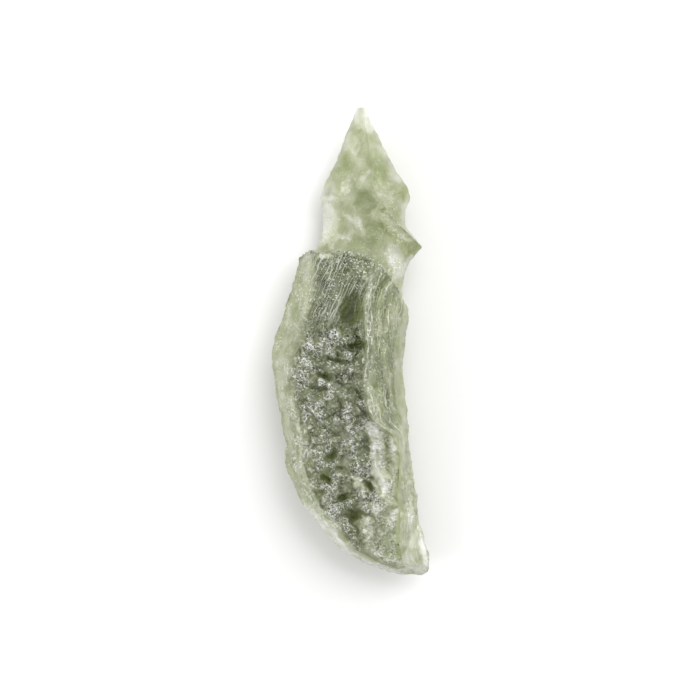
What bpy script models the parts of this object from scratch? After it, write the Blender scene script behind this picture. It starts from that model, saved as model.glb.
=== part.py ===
# A piece of moldavite: one solid of natural green glass, lying on the small flat spot under its body.
# The stone's length runs along Y, with the thin spire towards +Y. +Z is up and z = 0 is the flat spot.
# The skin is a loft. Twelve rails run along the stone like the long lines of a ship's hull, each row
# across them is a closed section, and hollows, lumps and flow grooves are then sunk into the skin.

import bpy
import numpy as np

MM = 0.001

# Driving dimensions, in millimetres
ROW_PITCH = 0.37            # greatest distance between two rows of the loft
FEWEST_ROWS = 3             # rows between two stations, where they stand close
CORNER_REACH = 0.12         # how far a bend in a rail is eased, in stations
EDGE_FADE = 0.55            # width along the two outer edges where hollows run out
RIDGE_FADE = 0.5            # and along the ridge, in rails
GROOVE_DEPTH = 0.32         # flow grooves along the right flank
GROOVE_COUNT = 2.5
GROOVE_WANDER = 0.2         # sideways wander of the grooves, in groove widths
GROOVE_WAVE = 7.0           # and its wavelength along the stone
GROOVE_MARGIN = 0.2         # share of the flank's width, by the ridge and by the edge, that they spare
GROOVE_TOP = 4.0            # y where the grooves begin, below the ledge
GROOVE_BOTTOM = -6.0        # and where they end
GROOVE_ENDS = 2.0           # length over which they come in and run out
UNDER_HOLLOWS = 36          # hollows scattered over the underside
UNDER_X = -5, 5             # where their middles may lie: under the body only, as the spire is thin
UNDER_Y = -14, 3.5
UNDER_HALF_WIDTHS = 0.7, 1.2
UNDER_HALF_LENGTHS = 0.8, 1.6
UNDER_TURNS = -40, 40       # degrees
UNDER_DEPTHS = 0.3, 0.7
UNDER_FADE = 0.7            # width below the two edges where they run out, in rails
UNDER_SEED = 7
FLAT_MARGIN = 0.1, 1.1      # heights between which they come in, so the flat spot stays clean

# Bottle-green natural glass, clear inside and satin where it is etched
GLASS_COLOUR = (0.42, 0.47, 0.30, 1)
GLASS_ROUGHNESS = 0.2
GLASS_IOR = 1.49
GLASS_CLARITY = 0.8

# Stations: 0 tip, 4 spear head, 5 and 6 foot and lip of the slanting crest, 9 and 10 foot and lip of
# the body's ledge, 12 to 18 body, 21 butt end.
TIP_STATION, BUTT_STATION = 0, 21

# Rails over the top, from the left edge to the right, as (station, x, y, z) in mm.
LEFT_EDGE = [
    (0, 0.52, 16.38, 2.25), (0.35, 0.33, 16.00, 2.15), (1, 0.02, 15.35, 2.00),
    (1.5, -0.35, 14.45, 1.85), (2, -0.60, 13.75, 1.70), (2.5, -0.90, 12.85, 1.60),
    (3, -1.35, 11.95, 1.50), (3.5, -1.70, 11.35, 1.50), (4, -1.95, 10.65, 1.50),
    (5, -2.12, 10.05, 1.50), (6, -2.05, 9.75, 1.50), (7, -1.90, 8.65, 1.30), (8, -1.95, 7.75, 1.25),
    (9, -2.40, 6.40, 1.30), (10, -3.62, 5.85, 2.50), (11, -3.85, 4.65, 2.60), (12, -4.35, 2.90, 2.50),
    (12.6, -4.85, 1.45, 2.50), (13, -5.12, 0.75, 2.50), (13.6, -5.48, -0.50, 2.60),
    (14, -5.54, -1.25, 2.60), (14.4, -5.38, -2.10, 2.65), (15, -5.15, -4.25, 2.80),
    (15.4, -4.83, -5.25, 2.80), (15.75, -4.70, -6.25, 2.80), (16, -4.47, -7.10, 2.80),
    (16.5, -4.64, -8.50, 2.80), (17, -4.18, -9.65, 2.80), (17.4, -3.75, -10.55, 2.80),
    (17.8, -3.30, -11.55, 2.80), (18.05, -2.75, -12.20, 2.80), (18.25, -2.15, -12.70, 2.75),
    (18.6, -1.80, -13.40, 2.70), (19, -1.15, -14.10, 2.60), (19.4, -0.55, -14.70, 2.50),
    (19.75, 0.45, -15.25, 2.30), (20, 1.35, -15.70, 2.10), (20.5, 2.60, -16.15, 1.90),
    (21, 3.75, -16.40, 1.70),
]
LEFT_FLANK = [
    (0, 0.60, 16.42, 2.40), (2, -0.15, 13.75, 2.35), (3, -0.60, 12.00, 2.35), (4, -1.10, 10.70, 2.40),
    (5, -1.20, 10.00, 2.35), (6, -1.15, 9.75, 2.30), (7, -1.10, 8.60, 1.95), (8, -1.15, 7.60, 1.85),
    (9, -2.10, 6.15, 1.90), (10, -2.85, 6.38, 3.50), (11, -3.10, 4.50, 3.75), (12, -3.40, 2.80, 3.75),
    (13, -4.10, 0.70, 3.75), (14, -4.75, -1.30, 3.75), (15, -4.70, -4.15, 3.80),
    (16, -4.05, -7.00, 3.70), (17, -3.65, -9.70, 3.70), (18, -2.35, -12.20, 3.60),
    (19, -0.60, -14.20, 3.20), (20, 1.60, -15.65, 2.50), (21, 3.87, -16.38, 1.85),
]
FLANK_LINE = [
    (0, 0.66, 16.43, 2.50), (2, 0.35, 13.75, 2.90), (3, 0.10, 12.00, 3.00), (4, -0.30, 10.75, 2.95),
    (5, -0.40, 9.90, 2.75), (6, -0.38, 9.65, 2.75), (7, -0.20, 8.40, 2.35), (8, -0.25, 7.40, 2.25),
    (9, -1.60, 5.95, 2.50), (10, -2.28, 6.22, 4.60), (11, -2.28, 4.30, 4.90), (12, -2.42, 2.70, 4.90),
    (13, -2.98, 0.65, 4.90), (14, -3.75, -1.30, 4.75), (15, -4.17, -4.10, 4.50),
    (16, -3.60, -6.90, 4.40), (17, -3.05, -9.70, 4.40), (18, -1.58, -12.15, 4.20),
    (19, -0.05, -14.25, 3.70), (20, 1.93, -15.60, 2.80), (21, 4.00, -16.36, 1.95),
]
FACE_MIDDLE = [
    (0, 0.73, 16.43, 2.56), (2, 0.75, 13.75, 3.25), (3, 0.60, 12.05, 3.40), (4, 0.45, 10.85, 3.35),
    (5, 0.55, 9.60, 3.15), (6, 0.65, 8.95, 3.10), (7, 0.85, 8.00, 2.70), (8, 0.70, 7.00, 2.60),
    (9, -0.40, 5.75, 2.90), (10, -0.67, 6.32, 5.90), (11, -0.75, 4.50, 6.10), (12, -0.90, 2.80, 5.90),
    (13, -1.10, 0.75, 5.60), (14, -1.40, -1.25, 5.60), (15, -1.90, -4.10, 5.50),
    (16, -1.60, -6.90, 5.30), (17, -0.70, -9.70, 5.10), (18, 0.30, -12.10, 4.70),
    (19, 1.30, -14.20, 4.00), (20, 2.90, -15.60, 3.00), (21, 4.15, -16.34, 2.05),
]
RIDGE_FOOT = [
    (0, 0.79, 16.43, 2.60), (2, 1.10, 13.75, 3.50), (3, 1.15, 12.10, 3.70), (4, 1.10, 10.87, 3.70),
    (5, 1.50, 9.60, 3.45), (6, 1.65, 8.98, 3.40), (7, 1.85, 7.95, 3.10), (8, 1.80, 6.85, 2.95),
    (9, 1.20, 5.30, 3.10), (10, 1.10, 5.95, 6.45), (11, 0.75, 4.40, 6.35), (12, 0.45, 2.70, 5.95),
    (13, 0.40, 0.75, 6.00), (14, 0.50, -1.20, 6.25), (15, 0.50, -4.10, 6.35), (16, 1.50, -6.75, 5.85),
    (17, 1.90, -9.70, 5.35), (18, 2.15, -12.05, 4.80), (19, 2.45, -14.15, 4.00),
    (20, 3.25, -15.60, 3.05), (21, 4.25, -16.32, 2.10),
]
RIDGE = [
    (0, 0.84, 16.43, 2.62), (1, 0.98, 15.35, 3.05), (2, 1.30, 13.75, 3.65), (3, 1.50, 12.10, 3.95),
    (4, 1.44, 10.87, 3.95), (5, 2.14, 9.82, 3.70), (6, 2.42, 9.33, 3.75), (7, 2.62, 7.93, 3.35),
    (8, 2.55, 6.74, 3.15), (9, 2.07, 4.99, 3.30), (10, 2.00, 5.48, 6.60), (11, 1.30, 4.36, 7.00),
    (12, 0.95, 2.68, 7.10), (13, 0.98, 0.79, 7.20), (14, 1.08, -1.17, 7.20), (14.5, 0.84, -2.57, 7.15),
    (15, 1.02, -4.11, 7.00), (15.5, 1.40, -5.45, 6.75), (15.8, 2.30, -6.05, 6.10),
    (16, 2.95, -6.50, 5.55), (16.4, 3.42, -7.90, 5.05), (17, 3.33, -9.65, 4.75),
    (17.4, 3.18, -10.60, 4.60), (17.7, 3.33, -11.40, 4.50), (18, 3.45, -12.20, 4.40),
    (19, 3.35, -14.30, 3.85), (20, 3.65, -15.60, 3.05), (21, 4.38, -16.32, 2.15),
]
RIGHT_FLANK = [
    (0, 0.91, 16.42, 2.52), (2, 1.80, 13.75, 3.35), (3, 2.35, 12.10, 3.45), (4, 2.75, 10.85, 3.25),
    (4.4, 2.90, 10.00, 3.00), (5, 3.00, 8.45, 2.65), (6, 3.60, 8.00, 3.40), (7, 3.55, 6.95, 3.00),
    (8, 3.35, 6.10, 2.80), (9, 2.90, 4.00, 2.90), (10, 2.90, 4.30, 5.30), (11, 2.75, 3.50, 5.50),
    (12, 2.60, 2.10, 5.50), (13, 2.50, 0.50, 5.45), (14, 2.40, -1.30, 5.40), (15, 2.50, -4.10, 5.30),
    (15.5, 2.70, -5.60, 5.20), (16, 3.58, -6.75, 4.30), (17, 3.90, -9.70, 3.85),
    (18, 4.10, -12.10, 3.65), (19, 4.35, -14.35, 3.30), (20, 4.60, -15.60, 2.65),
    (21, 4.60, -16.35, 2.12),
]
RIGHT_EDGE = [
    (0, 0.96, 16.38, 2.38), (0.35, 1.12, 16.00, 2.45), (1, 1.42, 15.35, 2.60), (1.5, 1.89, 14.45, 2.80),
    (2, 2.20, 13.75, 2.90), (2.3, 2.41, 13.30, 3.00), (2.6, 2.79, 12.75, 3.00), (3, 3.05, 12.15, 2.90),
    (3.5, 3.50, 11.45, 2.80), (4, 3.99, 10.80, 2.60), (4.4, 4.20, 10.00, 2.40), (4.7, 3.91, 9.40, 2.30),
    (4.85, 3.79, 8.65, 2.30), (5, 3.86, 8.00, 2.30), (6, 5.02, 6.60, 2.90), (7, 4.48, 6.00, 2.60),
    (8, 4.12, 5.55, 2.50), (8.4, 3.82, 4.90, 2.40), (8.8, 3.66, 4.00, 2.45), (9, 3.60, 3.05, 2.60),
    (10, 3.60, 2.80, 2.85), (11, 4.12, 2.30, 3.20), (11.4, 4.12, 1.75, 3.20), (12, 4.08, 1.40, 3.20),
    (13, 3.86, 0.25, 3.10), (13.5, 3.77, -0.75, 3.10), (14, 3.63, -1.40, 3.00),
    (14.3, 3.68, -2.30, 3.00), (15, 3.82, -4.10, 3.00), (15.5, 4.06, -5.50, 2.90),
    (16, 4.07, -6.90, 2.90), (16.4, 4.20, -8.20, 2.80), (17, 4.42, -9.65, 2.80),
    (17.5, 4.69, -10.85, 2.70), (18, 4.69, -11.95, 2.70), (18.4, 4.82, -12.85, 2.60),
    (18.7, 5.10, -13.55, 2.60), (19, 5.27, -14.40, 2.50), (19.5, 5.54, -14.90, 2.40),
    (20, 5.54, -15.60, 2.20), (20.5, 5.36, -16.15, 2.00), (21, 4.93, -16.43, 1.90),
]
# Rails under the stone, from the right edge back to the left. A keel below z = 0 is ground flat there.
RIGHT_UNDERSIDE = [
    (0, 0.89, 16.40, 2.20), (2, 1.60, 13.75, 2.05), (4, 3.00, 10.80, 1.55), (5, 2.80, 9.00, 1.45),
    (6, 3.20, 8.00, 1.60), (8, 2.90, 6.00, 1.50), (9, 2.80, 4.00, 1.20), (10, 3.00, 3.60, 1.25),
    (12, 3.20, 1.90, 1.30), (14, 2.90, -1.30, 1.20), (16, 3.20, -6.90, 1.20), (18, 3.90, -12.10, 1.20),
    (20, 4.80, -15.60, 1.25), (21, 4.80, -16.38, 1.65),
]
RIGHT_KEEL = [
    (0, 0.79, 16.42, 2.10), (2, 0.90, 13.75, 1.65), (4, 1.20, 10.80, 0.95), (6, 1.20, 8.60, 0.85),
    (8, 1.20, 6.40, 0.75), (10, 1.40, 4.40, 0.60), (12, 1.55, 2.40, 0.42), (13, 1.50, 0.70, 0.15),
    (14, 1.45, -1.20, -0.15), (15, 1.45, -4.10, -0.15), (16, 1.60, -6.90, 0.20),
    (17, 1.95, -9.70, 0.50), (18, 2.40, -12.00, 0.68), (20, 3.60, -15.50, 1.05),
    (21, 4.40, -16.36, 1.55),
]
LEFT_KEEL = [
    (0, 0.70, 16.42, 2.08), (2, 0.10, 13.75, 1.45), (4, -0.40, 10.80, 0.95), (6, -0.60, 9.40, 0.85),
    (8, -0.70, 7.20, 0.75), (10, -1.20, 5.20, 0.80), (12, -1.60, 2.80, 0.50), (13, -1.55, 0.70, 0.18),
    (14, -1.50, -1.20, -0.12), (15, -1.45, -4.10, -0.15), (16, -1.40, -6.90, 0.20),
    (17, -1.00, -9.70, 0.55), (18, -0.40, -12.20, 0.75), (20, 2.20, -15.60, 1.15),
    (21, 4.10, -16.38, 1.55),
]
LEFT_UNDERSIDE = [
    (0, 0.60, 16.40, 2.14), (2, -0.30, 13.75, 1.48), (4, -1.40, 10.70, 1.18), (6, -1.50, 9.70, 1.12),
    (8, -1.50, 7.60, 0.98), (9, -2.15, 6.10, 1.02), (10, -2.90, 5.60, 1.40), (12, -3.60, 2.90, 1.10),
    (14, -4.50, -1.20, 1.20), (16, -3.60, -7.00, 1.30), (18, -2.00, -12.30, 1.50),
    (20, 1.60, -15.70, 1.60), (21, 3.90, -16.40, 1.62),
]
RAILS = [
    LEFT_EDGE, LEFT_FLANK, FLANK_LINE, FACE_MIDDLE, RIDGE_FOOT, RIDGE, RIGHT_FLANK, RIGHT_EDGE,
    RIGHT_UNDERSIDE, RIGHT_KEEL, LEFT_KEEL, LEFT_UNDERSIDE,
]
STEPS_AFTER_RAIL = [3, 3, 5, 5, 2, 4, 4, 2, 3, 3, 2, 2]   # columns from each rail to the next
RIDGE_RAIL, EDGE_RAIL = RAILS.index(RIDGE), RAILS.index(RIGHT_EDGE)
CORNER_RAILS = [0, RIDGE_RAIL, EDGE_RAIL]                # left edge, ridge and right edge stay sharp

# Hollows in the top, as (x, y, half width, half length, turn in degrees, depth) in mm.
TOP_HOLLOWS = [
    (1.05, 9.70, 0.95, 0.85, 0, 0.55),       # bowl in the crest
    (-0.35, 10.75, 0.45, 0.55, -30, 0.29),
    (0.10, 1.70, 0.85, 1.55, -20, 0.52),     # dark trough beside the ridge
    (0.20, -0.45, 0.95, 0.42, 12, 0.34),
    (-0.90, -1.55, 1.00, 0.45, -8, 0.34),
    (-1.50, -2.85, 1.05, 0.50, -20, 0.36),
    (-2.00, -4.30, 0.85, 0.70, 0, 0.34),
    (-0.60, -4.60, 0.70, 0.80, 10, 0.31),
    (-2.90, -5.70, 0.60, 0.80, 15, 0.29),
    (-1.60, -6.10, 0.75, 0.60, -15, 0.34),
    (-0.10, -6.60, 0.80, 0.75, 20, 0.34),
    (-1.35, -8.05, 0.62, 0.50, 0, 0.42),
    (-2.25, -8.30, 0.50, 0.60, 25, 0.31),
    (0.50, -8.30, 0.70, 0.80, 25, 0.31),
    (-1.60, -9.55, 0.60, 0.52, 0, 0.42),
    (0.30, -9.90, 0.45, 1.10, 35, 0.31),
    (-0.50, -10.85, 0.58, 0.50, 0, 0.44),
    (2.45, -7.90, 0.80, 2.20, 0, 0.70),      # long dish beside the lower end of the ridge
    (2.60, -10.40, 0.60, 1.10, 15, 0.34),
    (0.25, -12.05, 0.72, 0.55, 10, 0.47),
    (1.40, -12.20, 0.60, 0.70, 30, 0.31),
    (2.30, -13.70, 0.75, 1.15, 35, 0.39),
    (0.60, -13.70, 0.70, 0.45, -20, 0.29),
]


def rail_points(rail, stations):
    """Places on one rail at these stations. The corners between its straight runs are eased."""
    table = np.array(rail)
    reach = np.linspace(-CORNER_REACH, CORNER_REACH, 5)
    eased = [np.clip(stations + r, TIP_STATION, BUTT_STATION) for r in reach]
    return np.stack([np.mean([np.interp(s, table[:, 0], table[:, k]) for s in eased], axis=0)
                     for k in (1, 2, 3)], axis=-1)


def row_stations():
    """Stations of the rows: enough between two whole stations that none are over ROW_PITCH apart."""
    marks = np.arange(TIP_STATION, BUTT_STATION + 1, dtype=float)
    places = np.stack([rail_points(rail, marks) for rail in RAILS], axis=1)
    farthest = np.linalg.norm(np.diff(places, axis=0), axis=-1).max(axis=1)
    rows = [np.linspace(mark, mark + 1, max(FEWEST_ROWS, round(far / ROW_PITCH)), endpoint=False)
            for mark, far in zip(marks[:-1], farthest)]
    return np.concatenate([*rows, [BUTT_STATION]])


def rail_slopes(rails):
    """Tangents before and after each rail. They differ only at a corner, where each side runs straight."""
    ahead = np.roll(rails, -1, axis=1) - rails
    behind = rails - np.roll(rails, 1, axis=1)
    smooth = (ahead + behind) / 2
    before, after = smooth.copy(), smooth.copy()
    before[:, CORNER_RAILS] = behind[:, CORNER_RAILS]
    after[:, CORNER_RAILS] = ahead[:, CORNER_RAILS]
    return before, after


def loft(stations):
    """Grid of skin points, rows by columns, and each column's place counted in rails."""
    rails = np.stack([rail_points(rail, stations) for rail in RAILS], axis=1)
    before, after = rail_slopes(rails)
    columns, places = [], []
    for k, steps in enumerate(STEPS_AFTER_RAIL):
        following = (k + 1) % len(RAILS)
        for step in range(steps):
            u = step / steps
            columns.append((2 * u**3 - 3 * u**2 + 1) * rails[:, k]
                           + (u**3 - 2 * u**2 + u) * after[:, k]
                           + (3 * u**2 - 2 * u**3) * rails[:, following]
                           + (u**3 - u**2) * before[:, following])
            places.append(k + u)
    return np.stack(columns, axis=1), np.array(places)


def hollow(x, y, middle_x, middle_y, half_width, half_length, turn, depth):
    """Depth of one dish: a paraboloid over an ellipse, and nothing outside it."""
    angle = np.radians(turn)
    across = (x - middle_x) * np.cos(angle) + (y - middle_y) * np.sin(angle)
    along = (y - middle_y) * np.cos(angle) - (x - middle_x) * np.sin(angle)
    return depth * np.clip(1 - (across / half_width)**2 - (along / half_length)**2, 0, None)


def ramp(value, low, high):
    """0 below low, 1 above high, with a smooth step between."""
    t = np.clip((value - low) / (high - low), 0, 1)
    return t * t * (3 - 2 * t)


def top_relief(grid, places):
    """How far the top is sunk at each point by its deepest hollow. The edges and the ridge are spared."""
    x, y, _ = np.moveaxis(grid, -1, 0)
    sunk = np.max([hollow(x, y, *shape) for shape in TOP_HOLLOWS], axis=0)
    flat = grid[..., :2]
    to_left = np.linalg.norm(flat - flat[:, :1], axis=-1)
    to_right = np.linalg.norm(flat - flat[:, places == EDGE_RAIL], axis=-1)
    beside = ramp(np.minimum(to_left, to_right), 0, EDGE_FADE) * ramp(abs(places - RIDGE_RAIL), 0, RIDGE_FADE)
    return sunk * beside * (places < EDGE_RAIL)


def flank_grooves(grid, places):
    """Rounded grooves that run down the right flank side by side."""
    y = grid[..., 1]
    across = (places - RIDGE_RAIL) / (EDGE_RAIL - RIDGE_RAIL)
    wander = GROOVE_WANDER * np.sin(2 * np.pi * y / GROOVE_WAVE)
    wave = 0.5 - 0.5 * np.cos(2 * np.pi * (GROOVE_COUNT * across + wander))
    beside = ramp(across, 0, GROOVE_MARGIN) * ramp(1 - across, 0, GROOVE_MARGIN)
    along = ramp(GROOVE_TOP - y, 0, GROOVE_ENDS) * ramp(y - GROOVE_BOTTOM, 0, GROOVE_ENDS)
    return GROOVE_DEPTH * wave * beside * along


def under_relief(grid, places):
    """Scattered shallow hollows below the edges, running out towards the flat spot."""
    rng = np.random.default_rng(UNDER_SEED)
    x, y, z = np.moveaxis(grid, -1, 0)
    spans = UNDER_X, UNDER_Y, UNDER_HALF_WIDTHS, UNDER_HALF_LENGTHS, UNDER_TURNS, UNDER_DEPTHS
    shapes = np.stack([rng.uniform(*span, UNDER_HOLLOWS) for span in spans], axis=1)
    sunk = np.max([hollow(x, y, *shape) for shape in shapes], axis=0)
    below = ramp(places - EDGE_RAIL, 0, UNDER_FADE) * ramp(len(RAILS) - places, 0, UNDER_FADE)
    return sunk * below * ramp(z, *FLAT_MARGIN)


def skin_points():
    """The finished skin: top hollows sunk straight down, those below sunk up, the keel flat at z = 0."""
    grid, places = loft(row_stations())
    height = grid[..., 2] - top_relief(grid, places) - flank_grooves(grid, places)
    grid[..., 2] = np.maximum(height + under_relief(grid, places), 0)
    return grid


def skin_faces(rows, columns):
    """Quads between the rows, and a fan over each end row to its middle point."""
    row, column = np.meshgrid(np.arange(rows - 1), np.arange(columns), indexing="ij")
    beside = (column + 1) % columns
    quads = np.stack([row * columns + column, (row + 1) * columns + column,
                      (row + 1) * columns + beside, row * columns + beside], axis=-1).reshape(-1, 4)
    ring = np.arange(columns)
    following = (ring + 1) % columns
    tip, butt = rows * columns, rows * columns + 1
    last = (rows - 1) * columns
    tip_fan = [(tip, int(a), int(b)) for a, b in zip(ring, following)]
    butt_fan = [(butt, int(b) + last, int(a) + last) for a, b in zip(ring, following)]
    return quads.tolist() + tip_fan + butt_fan


def clear_scene():
    for old in list(bpy.data.objects):
        bpy.data.objects.remove(old, do_unlink=True)


def glass():
    material = bpy.data.materials.new("moldavite glass")
    material.use_nodes = True
    shader = material.node_tree.nodes["Principled BSDF"]
    shader.inputs["Base Color"].default_value = GLASS_COLOUR
    shader.inputs["Roughness"].default_value = GLASS_ROUGHNESS
    shader.inputs["Metallic"].default_value = 0.0
    shader.inputs["IOR"].default_value = GLASS_IOR
    shader.inputs["Transmission Weight"].default_value = GLASS_CLARITY
    return material


def moldavite():
    grid = skin_points()
    rows, columns = grid.shape[:2]
    ends = np.array([grid[0].mean(axis=0), grid[-1].mean(axis=0)])
    points = np.concatenate([grid.reshape(-1, 3), ends]) * MM
    mesh = bpy.data.meshes.new("moldavite")
    mesh.from_pydata(points.tolist(), [], skin_faces(rows, columns))
    mesh.validate()
    mesh.shade_smooth()
    mesh.materials.append(glass())
    return bpy.data.objects.new("moldavite", mesh)


def main():
    clear_scene()
    stone = bpy.data.collections.new("moldavite")
    bpy.context.scene.collection.children.link(stone)
    stone.objects.link(moldavite())


main()
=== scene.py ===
# A raw moldavite, seen from straight above on a white table between two soft lights.
# Sizes in the dictionaries are in millimetres unless a line says otherwise.
import math
import bpy
import numpy as np
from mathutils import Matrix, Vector


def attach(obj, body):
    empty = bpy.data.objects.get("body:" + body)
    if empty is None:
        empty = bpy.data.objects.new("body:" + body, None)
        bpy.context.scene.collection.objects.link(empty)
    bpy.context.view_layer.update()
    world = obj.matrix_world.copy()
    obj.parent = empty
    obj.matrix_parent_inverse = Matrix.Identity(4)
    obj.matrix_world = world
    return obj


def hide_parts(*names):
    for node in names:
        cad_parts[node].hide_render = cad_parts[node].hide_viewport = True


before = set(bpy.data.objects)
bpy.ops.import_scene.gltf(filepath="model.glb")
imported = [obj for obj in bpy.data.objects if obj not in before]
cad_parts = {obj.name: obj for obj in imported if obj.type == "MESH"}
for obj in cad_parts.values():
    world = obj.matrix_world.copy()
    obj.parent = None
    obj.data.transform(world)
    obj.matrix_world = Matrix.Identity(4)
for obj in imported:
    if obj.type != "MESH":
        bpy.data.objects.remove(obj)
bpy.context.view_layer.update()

mm = 0.001


def linearColour(hexCode):
    # an sRGB hex value such as "#8A9B5C", turned to the linear colour that shaders use
    srgb = [int(hexCode[i:i + 2], 16) / 255 for i in (1, 3, 5)]
    return [c / 12.92 if c <= 0.04045 else ((c + 0.055) / 1.055) ** 2.4 for c in srgb] + [1.0]


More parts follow.
